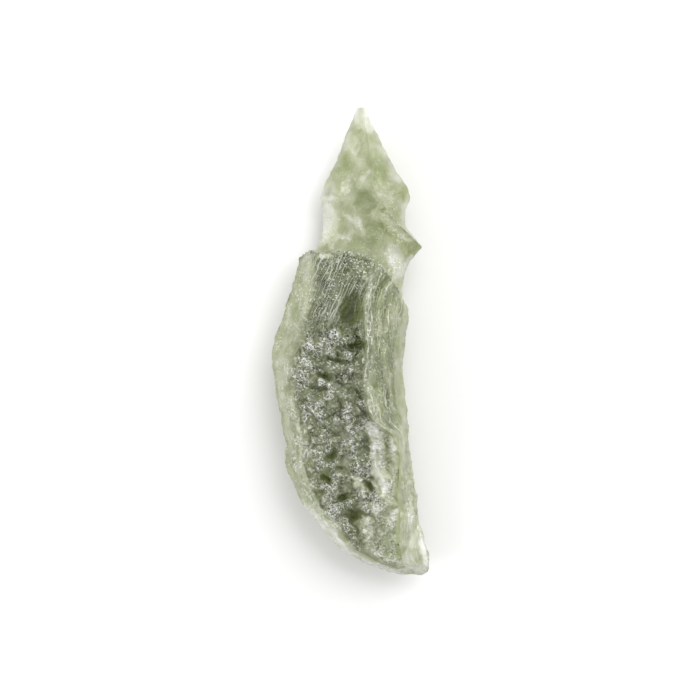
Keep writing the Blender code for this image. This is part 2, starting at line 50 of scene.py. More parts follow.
# The stone's long lines, as in a boat's plans: (station, x, y, z) along each. Station 0 is the tip of the
# spire, 5 and 6 the foot and lip of the slanting crest, 9 and 10 the foot and lip of the body's ledge,
# and 21 the butt end.
stoneLines = {
    "leftEdge": [
        (0, 0.52, 16.38, 2.25), (0.35, 0.33, 16.00, 2.15), (1, 0.02, 15.35, 2.00),
        (1.5, -0.35, 14.45, 1.85), (2, -0.60, 13.75, 1.70), (2.5, -0.90, 12.85, 1.60),
        (3, -1.35, 11.95, 1.50), (3.5, -1.70, 11.35, 1.50), (4, -1.95, 10.65, 1.50),
        (5, -2.12, 10.05, 1.50), (6, -2.05, 9.75, 1.50), (7, -1.90, 8.65, 1.30), (8, -1.95, 7.75, 1.25),
        (9, -2.40, 6.40, 1.30), (10, -3.62, 5.85, 2.50), (11, -3.85, 4.65, 2.60),
        (12, -4.35, 2.90, 2.50), (12.6, -4.85, 1.45, 2.50), (13, -5.12, 0.75, 2.50),
        (13.6, -5.48, -0.50, 2.60), (14, -5.54, -1.25, 2.60), (14.4, -5.38, -2.10, 2.65),
        (15, -5.15, -4.25, 2.80), (15.4, -4.83, -5.25, 2.80), (15.75, -4.70, -6.25, 2.80),
        (16, -4.47, -7.10, 2.80), (16.5, -4.64, -8.50, 2.80), (17, -4.18, -9.65, 2.80),
        (17.4, -3.75, -10.55, 2.80), (17.8, -3.30, -11.55, 2.80), (18.05, -2.75, -12.20, 2.80),
        (18.25, -2.15, -12.70, 2.75), (18.6, -1.80, -13.40, 2.70), (19, -1.15, -14.10, 2.60),
        (19.4, -0.55, -14.70, 2.50), (19.75, 0.45, -15.25, 2.30), (20, 1.35, -15.70, 2.10),
        (20.5, 2.60, -16.15, 1.90), (21, 3.75, -16.40, 1.70),
    ],
    "leftFlank": [
        (0, 0.60, 16.42, 2.40), (2, -0.15, 13.75, 2.35), (3, -0.60, 12.00, 2.35),
        (4, -1.10, 10.70, 2.40), (5, -1.20, 10.00, 2.35), (6, -1.15, 9.75, 2.30),
        (7, -1.10, 8.60, 1.95), (8, -1.15, 7.60, 1.85), (9, -2.10, 6.15, 1.90), (10, -2.85, 6.38, 3.50),
        (11, -3.10, 4.50, 3.75), (12, -3.40, 2.80, 3.75), (13, -4.10, 0.70, 3.75),
        (14, -4.75, -1.30, 3.75), (15, -4.70, -4.15, 3.80), (16, -4.05, -7.00, 3.70),
        (17, -3.65, -9.70, 3.70), (18, -2.35, -12.20, 3.60), (19, -0.60, -14.20, 3.20),
        (20, 1.60, -15.65, 2.50), (21, 3.87, -16.38, 1.85),
    ],
    "flankLine": [
        (0, 0.66, 16.43, 2.50), (2, 0.35, 13.75, 2.90), (3, 0.10, 12.00, 3.00), (4, -0.30, 10.75, 2.95),
        (5, -0.40, 9.90, 2.75), (6, -0.38, 9.65, 2.75), (7, -0.20, 8.40, 2.35), (8, -0.25, 7.40, 2.25),
        (9, -1.60, 5.95, 2.50), (10, -2.28, 6.22, 4.60), (11, -2.28, 4.30, 4.90),
        (12, -2.42, 2.70, 4.90), (13, -2.98, 0.65, 4.90), (14, -3.75, -1.30, 4.75),
        (15, -4.17, -4.10, 4.50), (16, -3.60, -6.90, 4.40), (17, -3.05, -9.70, 4.40),
        (18, -1.58, -12.15, 4.20), (19, -0.05, -14.25, 3.70), (20, 1.93, -15.60, 2.80),
        (21, 4.00, -16.36, 1.95),
    ],
    "faceMiddle": [
        (0, 0.73, 16.43, 2.56), (2, 0.75, 13.75, 3.25), (3, 0.60, 12.05, 3.40), (4, 0.45, 10.85, 3.35),
        (5, 0.55, 9.60, 3.15), (6, 0.65, 8.95, 3.10), (7, 0.85, 8.00, 2.70), (8, 0.70, 7.00, 2.60),
        (9, -0.40, 5.75, 2.90), (10, -0.67, 6.32, 5.90), (11, -0.75, 4.50, 6.10),
        (12, -0.90, 2.80, 5.90), (13, -1.10, 0.75, 5.60), (14, -1.40, -1.25, 5.60),
        (15, -1.90, -4.10, 5.50), (16, -1.60, -6.90, 5.30), (17, -0.70, -9.70, 5.10),
        (18, 0.30, -12.10, 4.70), (19, 1.30, -14.20, 4.00), (20, 2.90, -15.60, 3.00),
        (21, 4.15, -16.34, 2.05),
    ],
    "ridgeFoot": [
        (0, 0.79, 16.43, 2.60), (2, 1.10, 13.75, 3.50), (3, 1.15, 12.10, 3.70), (4, 1.10, 10.87, 3.70),
        (5, 1.50, 9.60, 3.45), (6, 1.65, 8.98, 3.40), (7, 1.85, 7.95, 3.10), (8, 1.80, 6.85, 2.95),
        (9, 1.20, 5.30, 3.10), (10, 1.10, 5.95, 6.45), (11, 0.75, 4.40, 6.35), (12, 0.45, 2.70, 5.95),
        (13, 0.40, 0.75, 6.00), (14, 0.50, -1.20, 6.25), (15, 0.50, -4.10, 6.35),
        (16, 1.50, -6.75, 5.85), (17, 1.90, -9.70, 5.35), (18, 2.15, -12.05, 4.80),
        (19, 2.45, -14.15, 4.00), (20, 3.25, -15.60, 3.05), (21, 4.25, -16.32, 2.10),
    ],
    "ridge": [
        (0, 0.84, 16.43, 2.62), (1, 0.98, 15.35, 3.05), (2, 1.30, 13.75, 3.65), (3, 1.50, 12.10, 3.95),
        (4, 1.44, 10.87, 3.95), (5, 2.14, 9.82, 3.70), (6, 2.42, 9.33, 3.75), (7, 2.62, 7.93, 3.35),
        (8, 2.55, 6.74, 3.15), (9, 2.07, 4.99, 3.30), (10, 2.00, 5.48, 6.60), (11, 1.30, 4.36, 7.00),
        (12, 0.95, 2.68, 7.10), (13, 0.98, 0.79, 7.20), (14, 1.08, -1.17, 7.20),
        (14.5, 0.84, -2.57, 7.15), (15, 1.02, -4.11, 7.00), (15.5, 1.40, -5.45, 6.75),
        (15.8, 2.30, -6.05, 6.10), (16, 2.95, -6.50, 5.55), (16.4, 3.42, -7.90, 5.05),
        (17, 3.33, -9.65, 4.75), (17.4, 3.18, -10.60, 4.60), (17.7, 3.33, -11.40, 4.50),
        (18, 3.45, -12.20, 4.40), (19, 3.35, -14.30, 3.85), (20, 3.65, -15.60, 3.05),
        (21, 4.38, -16.32, 2.15),
    ],
    "rightFlank": [
        (0, 0.91, 16.42, 2.52), (2, 1.80, 13.75, 3.35), (3, 2.35, 12.10, 3.45), (4, 2.75, 10.85, 3.25),
        (4.4, 2.90, 10.00, 3.00), (5, 3.00, 8.45, 2.65), (6, 3.60, 8.00, 3.40), (7, 3.55, 6.95, 3.00),
        (8, 3.35, 6.10, 2.80), (9, 2.90, 4.00, 2.90), (10, 2.90, 4.30, 5.30), (11, 2.75, 3.50, 5.50),
        (12, 2.60, 2.10, 5.50), (13, 2.50, 0.50, 5.45), (14, 2.40, -1.30, 5.40),
        (15, 2.50, -4.10, 5.30), (15.5, 2.70, -5.60, 5.20), (16, 3.58, -6.75, 4.30),
        (17, 3.90, -9.70, 3.85), (18, 4.10, -12.10, 3.65), (19, 4.35, -14.35, 3.30),
        (20, 4.60, -15.60, 2.65), (21, 4.60, -16.35, 2.12),
    ],
    "rightEdge": [
        (0, 0.96, 16.38, 2.38), (0.35, 1.12, 16.00, 2.45), (1, 1.42, 15.35, 2.60),
        (1.5, 1.89, 14.45, 2.80), (2, 2.20, 13.75, 2.90), (2.3, 2.41, 13.30, 3.00),
        (2.6, 2.79, 12.75, 3.00), (3, 3.05, 12.15, 2.90), (3.5, 3.50, 11.45, 2.80),
        (4, 3.99, 10.80, 2.60), (4.4, 4.20, 10.00, 2.40), (4.7, 3.91, 9.40, 2.30),
        (4.85, 3.79, 8.65, 2.30), (5, 3.86, 8.00, 2.30), (6, 5.02, 6.60, 2.90), (7, 4.48, 6.00, 2.60),
        (8, 4.12, 5.55, 2.50), (8.4, 3.82, 4.90, 2.40), (8.8, 3.66, 4.00, 2.45), (9, 3.60, 3.05, 2.60),
        (10, 3.60, 2.80, 2.85), (11, 4.12, 2.30, 3.20), (11.4, 4.12, 1.75, 3.20),
        (12, 4.08, 1.40, 3.20), (13, 3.86, 0.25, 3.10), (13.5, 3.77, -0.75, 3.10),
        (14, 3.63, -1.40, 3.00), (14.3, 3.68, -2.30, 3.00), (15, 3.82, -4.10, 3.00),
        (15.5, 4.06, -5.50, 2.90), (16, 4.07, -6.90, 2.90), (16.4, 4.20, -8.20, 2.80),
        (17, 4.42, -9.65, 2.80), (17.5, 4.69, -10.85, 2.70), (18, 4.69, -11.95, 2.70),
        (18.4, 4.82, -12.85, 2.60), (18.7, 5.10, -13.55, 2.60), (19, 5.27, -14.40, 2.50),
        (19.5, 5.54, -14.90, 2.40), (20, 5.54, -15.60, 2.20), (20.5, 5.36, -16.15, 2.00),
        (21, 4.93, -16.43, 1.90),
    ],
    # under the stone, from the right edge back to the left. What is below z = 0 is ground flat.
    "rightUnderside": [
        (0, 0.89, 16.40, 2.20), (2, 1.60, 13.75, 2.05), (4, 3.00, 10.80, 1.55), (5, 2.80, 9.00, 1.45),
        (6, 3.20, 8.00, 1.60), (8, 2.90, 6.00, 1.50), (9, 2.80, 4.00, 1.20), (10, 3.00, 3.60, 1.25),
        (12, 3.20, 1.90, 1.30), (14, 2.90, -1.30, 1.20), (16, 3.20, -6.90, 1.20),
        (18, 3.90, -12.10, 1.20), (20, 4.80, -15.60, 1.25), (21, 4.80, -16.38, 1.65),
    ],
    "rightKeel": [
        (0, 0.79, 16.42, 2.10), (2, 0.90, 13.75, 1.65), (4, 1.20, 10.80, 0.95), (6, 1.20, 8.60, 0.85),
        (8, 1.20, 6.40, 0.75), (10, 1.40, 4.40, 0.60), (12, 1.55, 2.40, 0.42), (13, 1.50, 0.70, 0.15),
        (14, 1.45, -1.20, -0.15), (15, 1.45, -4.10, -0.15), (16, 1.60, -6.90, 0.20),
        (17, 1.95, -9.70, 0.50), (18, 2.40, -12.00, 0.68), (20, 3.60, -15.50, 1.05),
        (21, 4.40, -16.36, 1.55),
    ],
    "leftKeel": [
        (0, 0.70, 16.42, 2.08), (2, 0.10, 13.75, 1.45), (4, -0.40, 10.80, 0.95), (6, -0.60, 9.40, 0.85),
        (8, -0.70, 7.20, 0.75), (10, -1.20, 5.20, 0.80), (12, -1.60, 2.80, 0.50),
        (13, -1.55, 0.70, 0.18), (14, -1.50, -1.20, -0.12), (15, -1.45, -4.10, -0.15),
        (16, -1.40, -6.90, 0.20), (17, -1.00, -9.70, 0.55), (18, -0.40, -12.20, 0.75),
        (20, 2.20, -15.60, 1.15), (21, 4.10, -16.38, 1.55),
    ],
    "leftUnderside": [
        (0, 0.60, 16.40, 2.14), (2, -0.30, 13.75, 1.48), (4, -1.40, 10.70, 1.18),
        (6, -1.50, 9.70, 1.12), (8, -1.50, 7.60, 0.98), (9, -2.15, 6.10, 1.02), (10, -2.90, 5.60, 1.40),
        (12, -3.60, 2.90, 1.10), (14, -4.50, -1.20, 1.20), (16, -3.60, -7.00, 1.30),
        (18, -2.00, -12.30, 1.50), (20, 1.60, -15.70, 1.60), (21, 3.90, -16.40, 1.62),
    ],
}
skinGrid = {
    "bodyPitch": 0.083,         # between rows, from the ledge to the butt end
    "spirePitch": 0.130,        # and over the thin spire
    "leastRows": 4,             # from one station to the next
    "columns": [15, 17, 31, 27, 10, 24, 21, 11, 11, 11, 10, 10],   # from each line to the next
    "sharpLines": ["leftEdge", "ridge", "rightEdge"],
    "bendEase": 0.10,           # how far a bend along a line is rounded, in stations
    "tip": 0, "lip": 10, "butt": 21,    # stations
}
lineNames = list(stoneLines)
ridgePlace, edgePlace = lineNames.index("ridge"), lineNames.index("rightEdge")
linePlace = {name: k for k, name in enumerate(lineNames)}


# noise

def latticeNumbers(cell, seed):
    # one repeatable number from 0 to 1 for each whole-number corner: products of the three, folded together
    n = (cell[..., 0] * 73856093) ^ (cell[..., 1] * 19349663) ^ (cell[..., 2] * 83492791) ^ (seed * 40503)
    n = (n ^ (n >> 13)) * 1274126177
    n = (n ^ (n >> 16)) * 668265263
    return ((n ^ (n >> 15)) & 0xffffff) / 0xffffff


def softNoise(points, size, seed):
    # Slopes at the corners of a lattice of this size, blended by smooth steps: roughly -1 to 1. Each use of
    # noise has a seed of its own.
    p = points / np.asarray(size, dtype=float)
    cell = np.floor(p).astype(np.int64)
    t = p - cell
    s = t * t * t * (t * (t * 6 - 15) + 10)
    total = np.zeros(p.shape[:-1])
    for corner in range(8):
        step = np.array([corner & 1, (corner >> 1) & 1, corner >> 2])
        slope = np.stack([latticeNumbers(cell + step, seed + k) for k in range(3)], axis=-1) * 2 - 1
        weight = np.prod(np.where(step == 1, s, 1 - s), axis=-1)
        total += weight * np.sum(slope * (t - step), axis=-1)
    return total * 1.7


def roughNoise(points, size, seed, octaves):
    # soft noise added at half the size and half the height each time, this many times
    p, size = np.asarray(points), np.asarray(size, dtype=float)
    return sum(softNoise(p, size / 2**k, seed + 11 * k) / 2**k for k in range(octaves))


def pitCells(points, size, seed):
    # One random spot in each box of a lattice. Returned for the cell round the nearest spot: the distance
    # to that spot, in boxes, the spot's own random number, and the height there of a plane through the spot
    # with a random lean.
    p = points / np.asarray(size, dtype=float)
    home = np.floor(p).astype(np.int64)
    near = np.full(p.shape[:-1], 9.0)   # further off than any spot
    number, plane = np.zeros(p.shape[:-1]), np.zeros(p.shape[:-1])
    for k in range(27):
        cell = home + np.array([k % 3 - 1, k // 3 % 3 - 1, k // 9 - 1])
        away = p - cell - np.stack([latticeNumbers(cell, seed + j) for j in range(3)], axis=-1)
        far = np.linalg.norm(away, axis=-1)
        closer = far < near
        leaning = sum(away[..., j] * (latticeNumbers(cell, seed + 4 + j) * 2 - 1) for j in range(2))
        number = np.where(closer, latticeNumbers(cell, seed + 3), number)
        plane = np.where(closer, leaning, plane)
        near = np.where(closer, far, near)
    return near, number, plane


def ramp(value, low, high):
    # 0 below low, 1 above high, a smooth step between
    t = np.clip((value - low) / (high - low), 0, 1)
    return t * t * (3 - 2 * t)


def window(value, low, high, soft):
    # 1 between low and high, running out over the soft width outside them
    return ramp(value, low - soft, low) * (1 - ramp(value, high, high + soft))


# the skin

def linePoints(line, stations):
    # places on a line at these stations: straight between its entries, averaged over a short reach
    table = np.array(line)
    reach = np.linspace(-skinGrid["bendEase"], skinGrid["bendEase"], 5)
    eased = [np.clip(stations + r, skinGrid["tip"], skinGrid["butt"]) for r in reach]
    return np.stack([np.mean([np.interp(s, table[:, 0], table[:, k]) for s in eased], axis=0)
                     for k in (1, 2, 3)], axis=-1)


def rowStations():
    # rows between whole stations, as many as keep the longest gap on any line under the pitch
    marks = np.arange(skinGrid["tip"], skinGrid["butt"] + 1, dtype=float)
    lines = np.stack([linePoints(line, marks) for line in stoneLines.values()], axis=1)
    gaps = np.linalg.norm(np.diff(lines, axis=0), axis=-1).max(axis=1)
    pitch = np.where(marks[:-1] < skinGrid["lip"], skinGrid["spirePitch"], skinGrid["bodyPitch"])
    rows = [np.linspace(m, m + 1, max(skinGrid["leastRows"], round(g / p)), endpoint=False)
            for m, g, p in zip(marks[:-1], gaps, pitch)]
    return np.concatenate([*rows, [skinGrid["butt"]]])


def hullSkin(stations):
    # Grid of skin points (rows, columns, xyz). Across a row a cubic joins each line to the next, its
    # slopes are half the step between the neighbours, and at a sharp line each side runs straight.
    lines = np.stack([linePoints(line, stations) for line in stoneLines.values()], axis=1)
    ahead = np.roll(lines, -1, axis=1) - lines
    behind = lines - np.roll(lines, 1, axis=1)
    arriving = (ahead + behind) / 2
    leaving = arriving.copy()
    for name in skinGrid["sharpLines"]:
        arriving[:, linePlace[name]] = behind[:, linePlace[name]]
        leaving[:, linePlace[name]] = ahead[:, linePlace[name]]
    columns, places = [], []
    for k, count in enumerate(skinGrid["columns"]):
        u = (np.arange(count) / count)[None, :, None]
        nextLine = (k + 1) % len(lineNames)
        columns.append((2 * u**3 - 3 * u**2 + 1) * lines[:, None, k]
                       + (u**3 - 2 * u**2 + u) * leaving[:, None, k]
                       + (3 * u**2 - 2 * u**3) * lines[:, None, nextLine]
                       + (u**3 - u**2) * arriving[:, None, nextLine])
        places.append(k + np.arange(count) / count)
    return np.concatenate(columns, axis=1), np.concatenate(places)


def outward(grid):
    # unit normals: the step along the rows crossed with the step round them
    along = np.gradient(grid, axis=0)
    around = np.roll(grid, -1, axis=1) - np.roll(grid, 1, axis=1)
    normal = np.cross(along, around)
    return normal / np.maximum(np.linalg.norm(normal, axis=-1, keepdims=True), 1e-9)


def mound(x, y, middleX, middleY, halfWidth, halfLength, turn=0.0, blunt=1.0):
    # 1 at the middle of an ellipse, 0 outside: one less the squared distance, raised to the blunt power
    c, s = math.cos(math.radians(turn)), math.sin(math.radians(turn))
    across = ((x - middleX) * c + (y - middleY) * s) / halfWidth
    along = ((y - middleY) * c - (x - middleX) * s) / halfLength
    return np.clip(1 - across**2 - along**2, 0, None) ** blunt


# The etched face between the left flank and the ridge: rounded lumps with clean dark pits between them.
etchedFace = {
    "lumps": [                  # x, y, half width, half length
        (-0.39, 0.23, 0.86, 0.71), (-1.93, 1.00, 0.55, 0.47), (-2.63, -0.26, 0.63, 0.47),
        (-3.54, -0.12, 0.55, 0.47), (-1.93, -0.05, 0.47, 0.55), (-1.16, -0.82, 0.63, 0.39),
        (-0.25, -0.96, 0.63, 0.47), (-1.79, -0.89, 0.47, 0.39), (0.53, -1.10, 0.55, 0.55),
        (-1.93, -1.59, 0.55, 0.39), (-1.16, -1.87, 0.78, 0.71), (-0.39, -1.73, 0.47, 0.55),
        (0.32, -1.94, 0.55, 0.63), (-3.33, -2.36, 0.55, 0.47), (-2.63, -2.57, 0.47, 0.55),
        (-2.00, -2.85, 0.63, 0.39), (-1.09, -3.13, 0.71, 0.63), (-0.32, -3.13, 0.55, 0.63),
        (0.46, -2.92, 0.55, 0.63), (-3.82, -3.20, 0.47, 0.55), (-2.28, -4.04, 0.78, 0.71),
        (-1.44, -3.83, 0.55, 0.63), (-0.60, -3.90, 0.63, 0.55), (0.18, -3.83, 0.55, 0.47),
        (-3.33, -3.55, 0.47, 0.55), (-1.23, -4.67, 0.55, 0.63), (-0.32, -4.67, 0.63, 0.63),
        (0.46, -4.53, 0.55, 0.71), (-2.49, -5.02, 0.63, 0.55), (-3.47, -4.74, 0.55, 0.63),
        (-1.79, -5.09, 0.47, 0.47), (-2.91, -5.72, 0.55, 0.71), (-1.09, -5.79, 0.71, 0.71),
        (-2.14, -6.70, 0.71, 0.71), (-3.26, -6.70, 0.47, 0.71), (-0.18, -5.51, 0.71, 0.63),
        (-0.04, -6.63, 0.71, 0.63), (0.74, -6.70, 0.47, 0.78), (-1.16, -6.98, 0.71, 0.55),
        (-2.14, -7.75, 0.71, 0.63), (-0.39, -7.47, 0.63, 0.63), (0.67, -7.54, 0.71, 0.71),
        (-0.88, -8.31, 0.47, 0.55), (-2.00, -8.17, 0.71, 0.63), (-3.19, -7.96, 0.55, 0.71),
        (-0.18, -8.45, 0.47, 0.86), (0.81, -8.45, 0.71, 0.71), (-1.72, -8.87, 0.63, 0.63),
        (-2.63, -8.80, 0.47, 0.63), (-1.02, -9.29, 0.63, 0.47), (-2.28, -9.78, 0.63, 0.71),
        (-0.25, -9.57, 0.47, 0.63), (0.53, -9.85, 0.78, 0.55), (-1.16, -10.20, 0.71, 0.71),
        (-0.32, -10.27, 0.47, 0.63), (0.88, -10.69, 0.63, 0.71), (-1.58, -10.97, 0.55, 0.55),
        (-0.04, -11.32, 0.63, 0.47), (-0.74, -11.67, 0.55, 0.55), (0.88, -11.60, 0.63, 0.63),
        (1.79, -11.60, 0.63, 0.71), (-1.30, -12.02, 0.55, 0.71), (0.60, -12.65, 0.63, 0.47),
        (1.37, -12.65, 0.63, 0.63), (1.09, -13.42, 0.63, 0.63), (-0.04, -13.21, 0.55, 0.47),
        (0.39, -13.91, 0.47, 0.39), (1.16, -14.33, 0.63, 0.47), (-0.53, -12.65, 0.55, 0.55),
        (1.93, -10.90, 0.47, 0.55),
    ],
    "lumpHeight": 0.42,
    "lumpBlunt": 0.6,           # how flat the lumps' tops are: 1 is a parabola, less is flatter
    "lumpLevel": 0.6,           # the part of a lump's height that stays level with the skin round the face
    "lowShare": 0.5,            # how much of the etching the lower right of the face has
    "pits": [                   # x, y, half width, half length, turn in degrees, depth
        (0.00, 2.05, 0.85, 1.25, -12, 0.45), (-1.35, -8.10, 0.60, 0.26, 30, 0.40),
        (-1.68, -9.60, 0.55, 0.26, -20, 0.40), (-0.52, -10.85, 0.60, 0.28, 35, 0.42),
        (0.28, -12.15, 0.80, 0.38, 20, 0.50), (1.25, -10.05, 0.55, 0.22, -35, 0.45),
        (1.75, -9.70, 0.30, 0.45, 20, 0.35), (0.55, -0.35, 0.80, 0.26, 8, 0.35),
        (-1.00, -1.30, 0.75, 0.22, -12, 0.35), (-1.95, -2.45, 0.65, 0.22, -35, 0.32),
        (-2.20, -3.35, 0.70, 0.20, 0, 0.32),
    ],
    "rightLimit": [             # y and x of the line where the etching ends on the right
        (4.0, 2.5), (-4.6, 1.6), (-6.1, 1.15), (-7.0, 1.40), (-8.5, 1.50), (-9.2, 1.60), (-10.0, 2.00),
        (-11.6, 2.25), (-12.4, 1.90), (-13.4, 1.20), (-15.0, 0.60), (-16.5, 0.50),
    ],
    "paleFacet": [              # y, and x of its left and right side
        (-5.60, 1.15, 1.30), (-6.20, 1.15, 1.95), (-7.00, 1.42, 2.22), (-8.00, 1.50, 2.30),
        (-9.00, 1.55, 2.12), (-9.70, 1.70, 1.85),
    ],
    "buttFacet": (4.75, -12.80, (-0.48, 0.25), -15.55),     # top x and y, slopes of its two sides, foot
    "roughFacet": (0.74, 4.99, 0.95, 0.60, -15),            # x, y, half width, half length, turn
    "wander": 0.16,             # how far the outlines stray, and over what length
    "wanderSize": 0.7,
    "facetWanderSize": 0.4,
}
# Scoops that took glass away across the ridge or on the spire: x, y, half width, half length, turn, depth.
scoops = {
    "besideRidge": (2.45, -8.10, 0.85, 2.10, 0, 0.62),
    "belowIt": (2.55, -10.50, 0.65, 1.10, 20, 0.35),
    "clearWindow": (2.30, -14.00, 0.95, 1.20, 35, 0.35),
    "bowl": (1.02, 9.70, 0.98, 0.95, 0, 0.32),
    "bowlRim": (-0.30, 10.75, 0.45, 0.55, -30, 0.22),
}
scoopEdge = {"blunt": 1.4, "fade": (0, 0.5)}    # the scoops run out towards the stone's outline
# Fine lines of flow in the glass, opened up by etching: their spacing, length and wander in each place.
flowLines = {
    # those of the upper face lean by some degrees, and lie past a place round the stone and above a y
    "upperFace": {"spacing": 0.20, "length": 5.0, "wander": 0.12, "lean": 24.0, "past": -0.5, "downTo": -1.0},
    "rightFlank": {"spacing": 0.21, "length": 3.5, "wander": 0.32},
    "leftFlank": {"spacing": 0.19, "length": 2.5, "wander": 0.20},
    "wanderSize": (0.9, 1.3, 1.0),
    "flankEnd": (1.30, -5.35, -0.48),   # the right flank ends on a slanting line: x, y, slope
    "coarser": (1.6, 1.0, 1.0),         # the lines deep enough to be in the mesh, against the fine ones
    "faceDepth": 0.07, "flankDepth": 0.06, "leftDepth": 0.03,
    "waveSpacing": 0.60, "waveLength": 2.8, "waveDepth": 0.10,
    "fade": (0, 0.35),                  # those of the flank run out towards the stone's outline
}
# Etching in the mesh: leaning facets, worm-like crests, small pits, chips and a crust on the ledge's lip.
etching = {
    "facetSize": 0.75, "facetLean": 0.32, "facetStep": 0.14,
    "wormSize": 0.30, "wormHeight": 0.06, "wormWidth": 0.16,    # the width counts in the noise's own height
    "wormFrostAndPaintedGlint": 0.9,                   # how white their crests are
    "pitSize": 0.42, "pitDepth": 0.05,
    "pitRim": (0.05, 0.5),              # from the pit's bottom to its rim, in boxes
    "pitShare": (0.35, 0.7),            # random numbers from no pit to a full one
    "unevenSize": 0.9, "uneven": 0.035, "spireEven": 0.4,
    "chipSize": 0.55, "chipDepth": 0.09, "chipReach": (0, 0.45), "spireChips": 0.6,
    "lipSize": 0.30, "lipDepth": 0.12,
}
# Where each kind of surface begins and ends. Two numbers are the places that its weight runs between, and
# three are the start and end of a strip and the width over which it runs out. The unit is the line above.
zoneReach = {
    # stations along the stone
    "body": (10.0, 10.25), "spire": (9.0, 9.6), "ledge": (9.15, 9.95, 0.25), "lip": (9.93, 10.12, 0.10),
    "spurAlong": (5.95, 6.10, 0.10),
    # long lines round the stone, counted from the one that the code names
    "faceLeft": (-0.75, 0.25), "faceRight": (-0.35, 0), "lowFaceLeft": (0, 1), "rightSide": (-0.02, 0.05),
    "spurAround": (-0.3, 0, 0.3), "leftFlank": (-0.1, 0, 0.3), "under": (0, 0.6),
    # millimetres from the left edge, as seen from above
    "sheenBand": (0.60, 1.15, 0.30), "bandSide": (1.35, 1.75, 0.20),
    # from the nearer edge
    "edge": (0.1, 0.5), "spireRim": (0.05, 0.70), "rightRim": (0.3, 1.0), "lumpEdge": (0.5, 1.1),
    "leftFlankEdge": (0.0, 0.3), "rim": (0.55, 1.10),
    # from the ridge
    "besideRidge": (0.2, 0.8), "crest": (0, 0.14, 0.16),
    # y
    "bandTop": (-4.5, -2.5), "bandFoot": (-15.4, -14.2), "bandSideFoot": (-12.5, -11.0),
    # y with its sign changed, so that it grows towards the butt end
    "bandSideTop": (5.0, 6.5), "lowFaceTop": (4.5, 5.5), "lumpTop": (-1.9, -0.4), "lumpFoot": (14.0, 15.2),
    "upperFace": (-1.6, 0.2), "crestTop": (5.8, 6.8), "rimTop": (10.5, 12.5),
    # x
    "rimRight": (4.2, 4.6),
    # millimetres across the outlines of the flank's end, the etching and the facets
    "flankEnd": (-0.12, 0.12), "pastLimit": (-0.30, 0.40), "paleFacet": 0.10, "paleFacetEnds": 0.05,
    "triangleTop": (0, 0.2), "triangleSides": 0.1, "triangleFoot": (-0.15, 0),
    # the power of the rough facet's mound
    "roughFacetBlunt": 0.5,
}


def placesRound(around, name, start, end=None):
    # the ramp or window of this kind of surface, with its ends counted from these long lines
    low, high, *soft = zoneReach[name]
    end = start if end is None else end
    return (window if soft else ramp)(around, start + low, end + high, *soft)


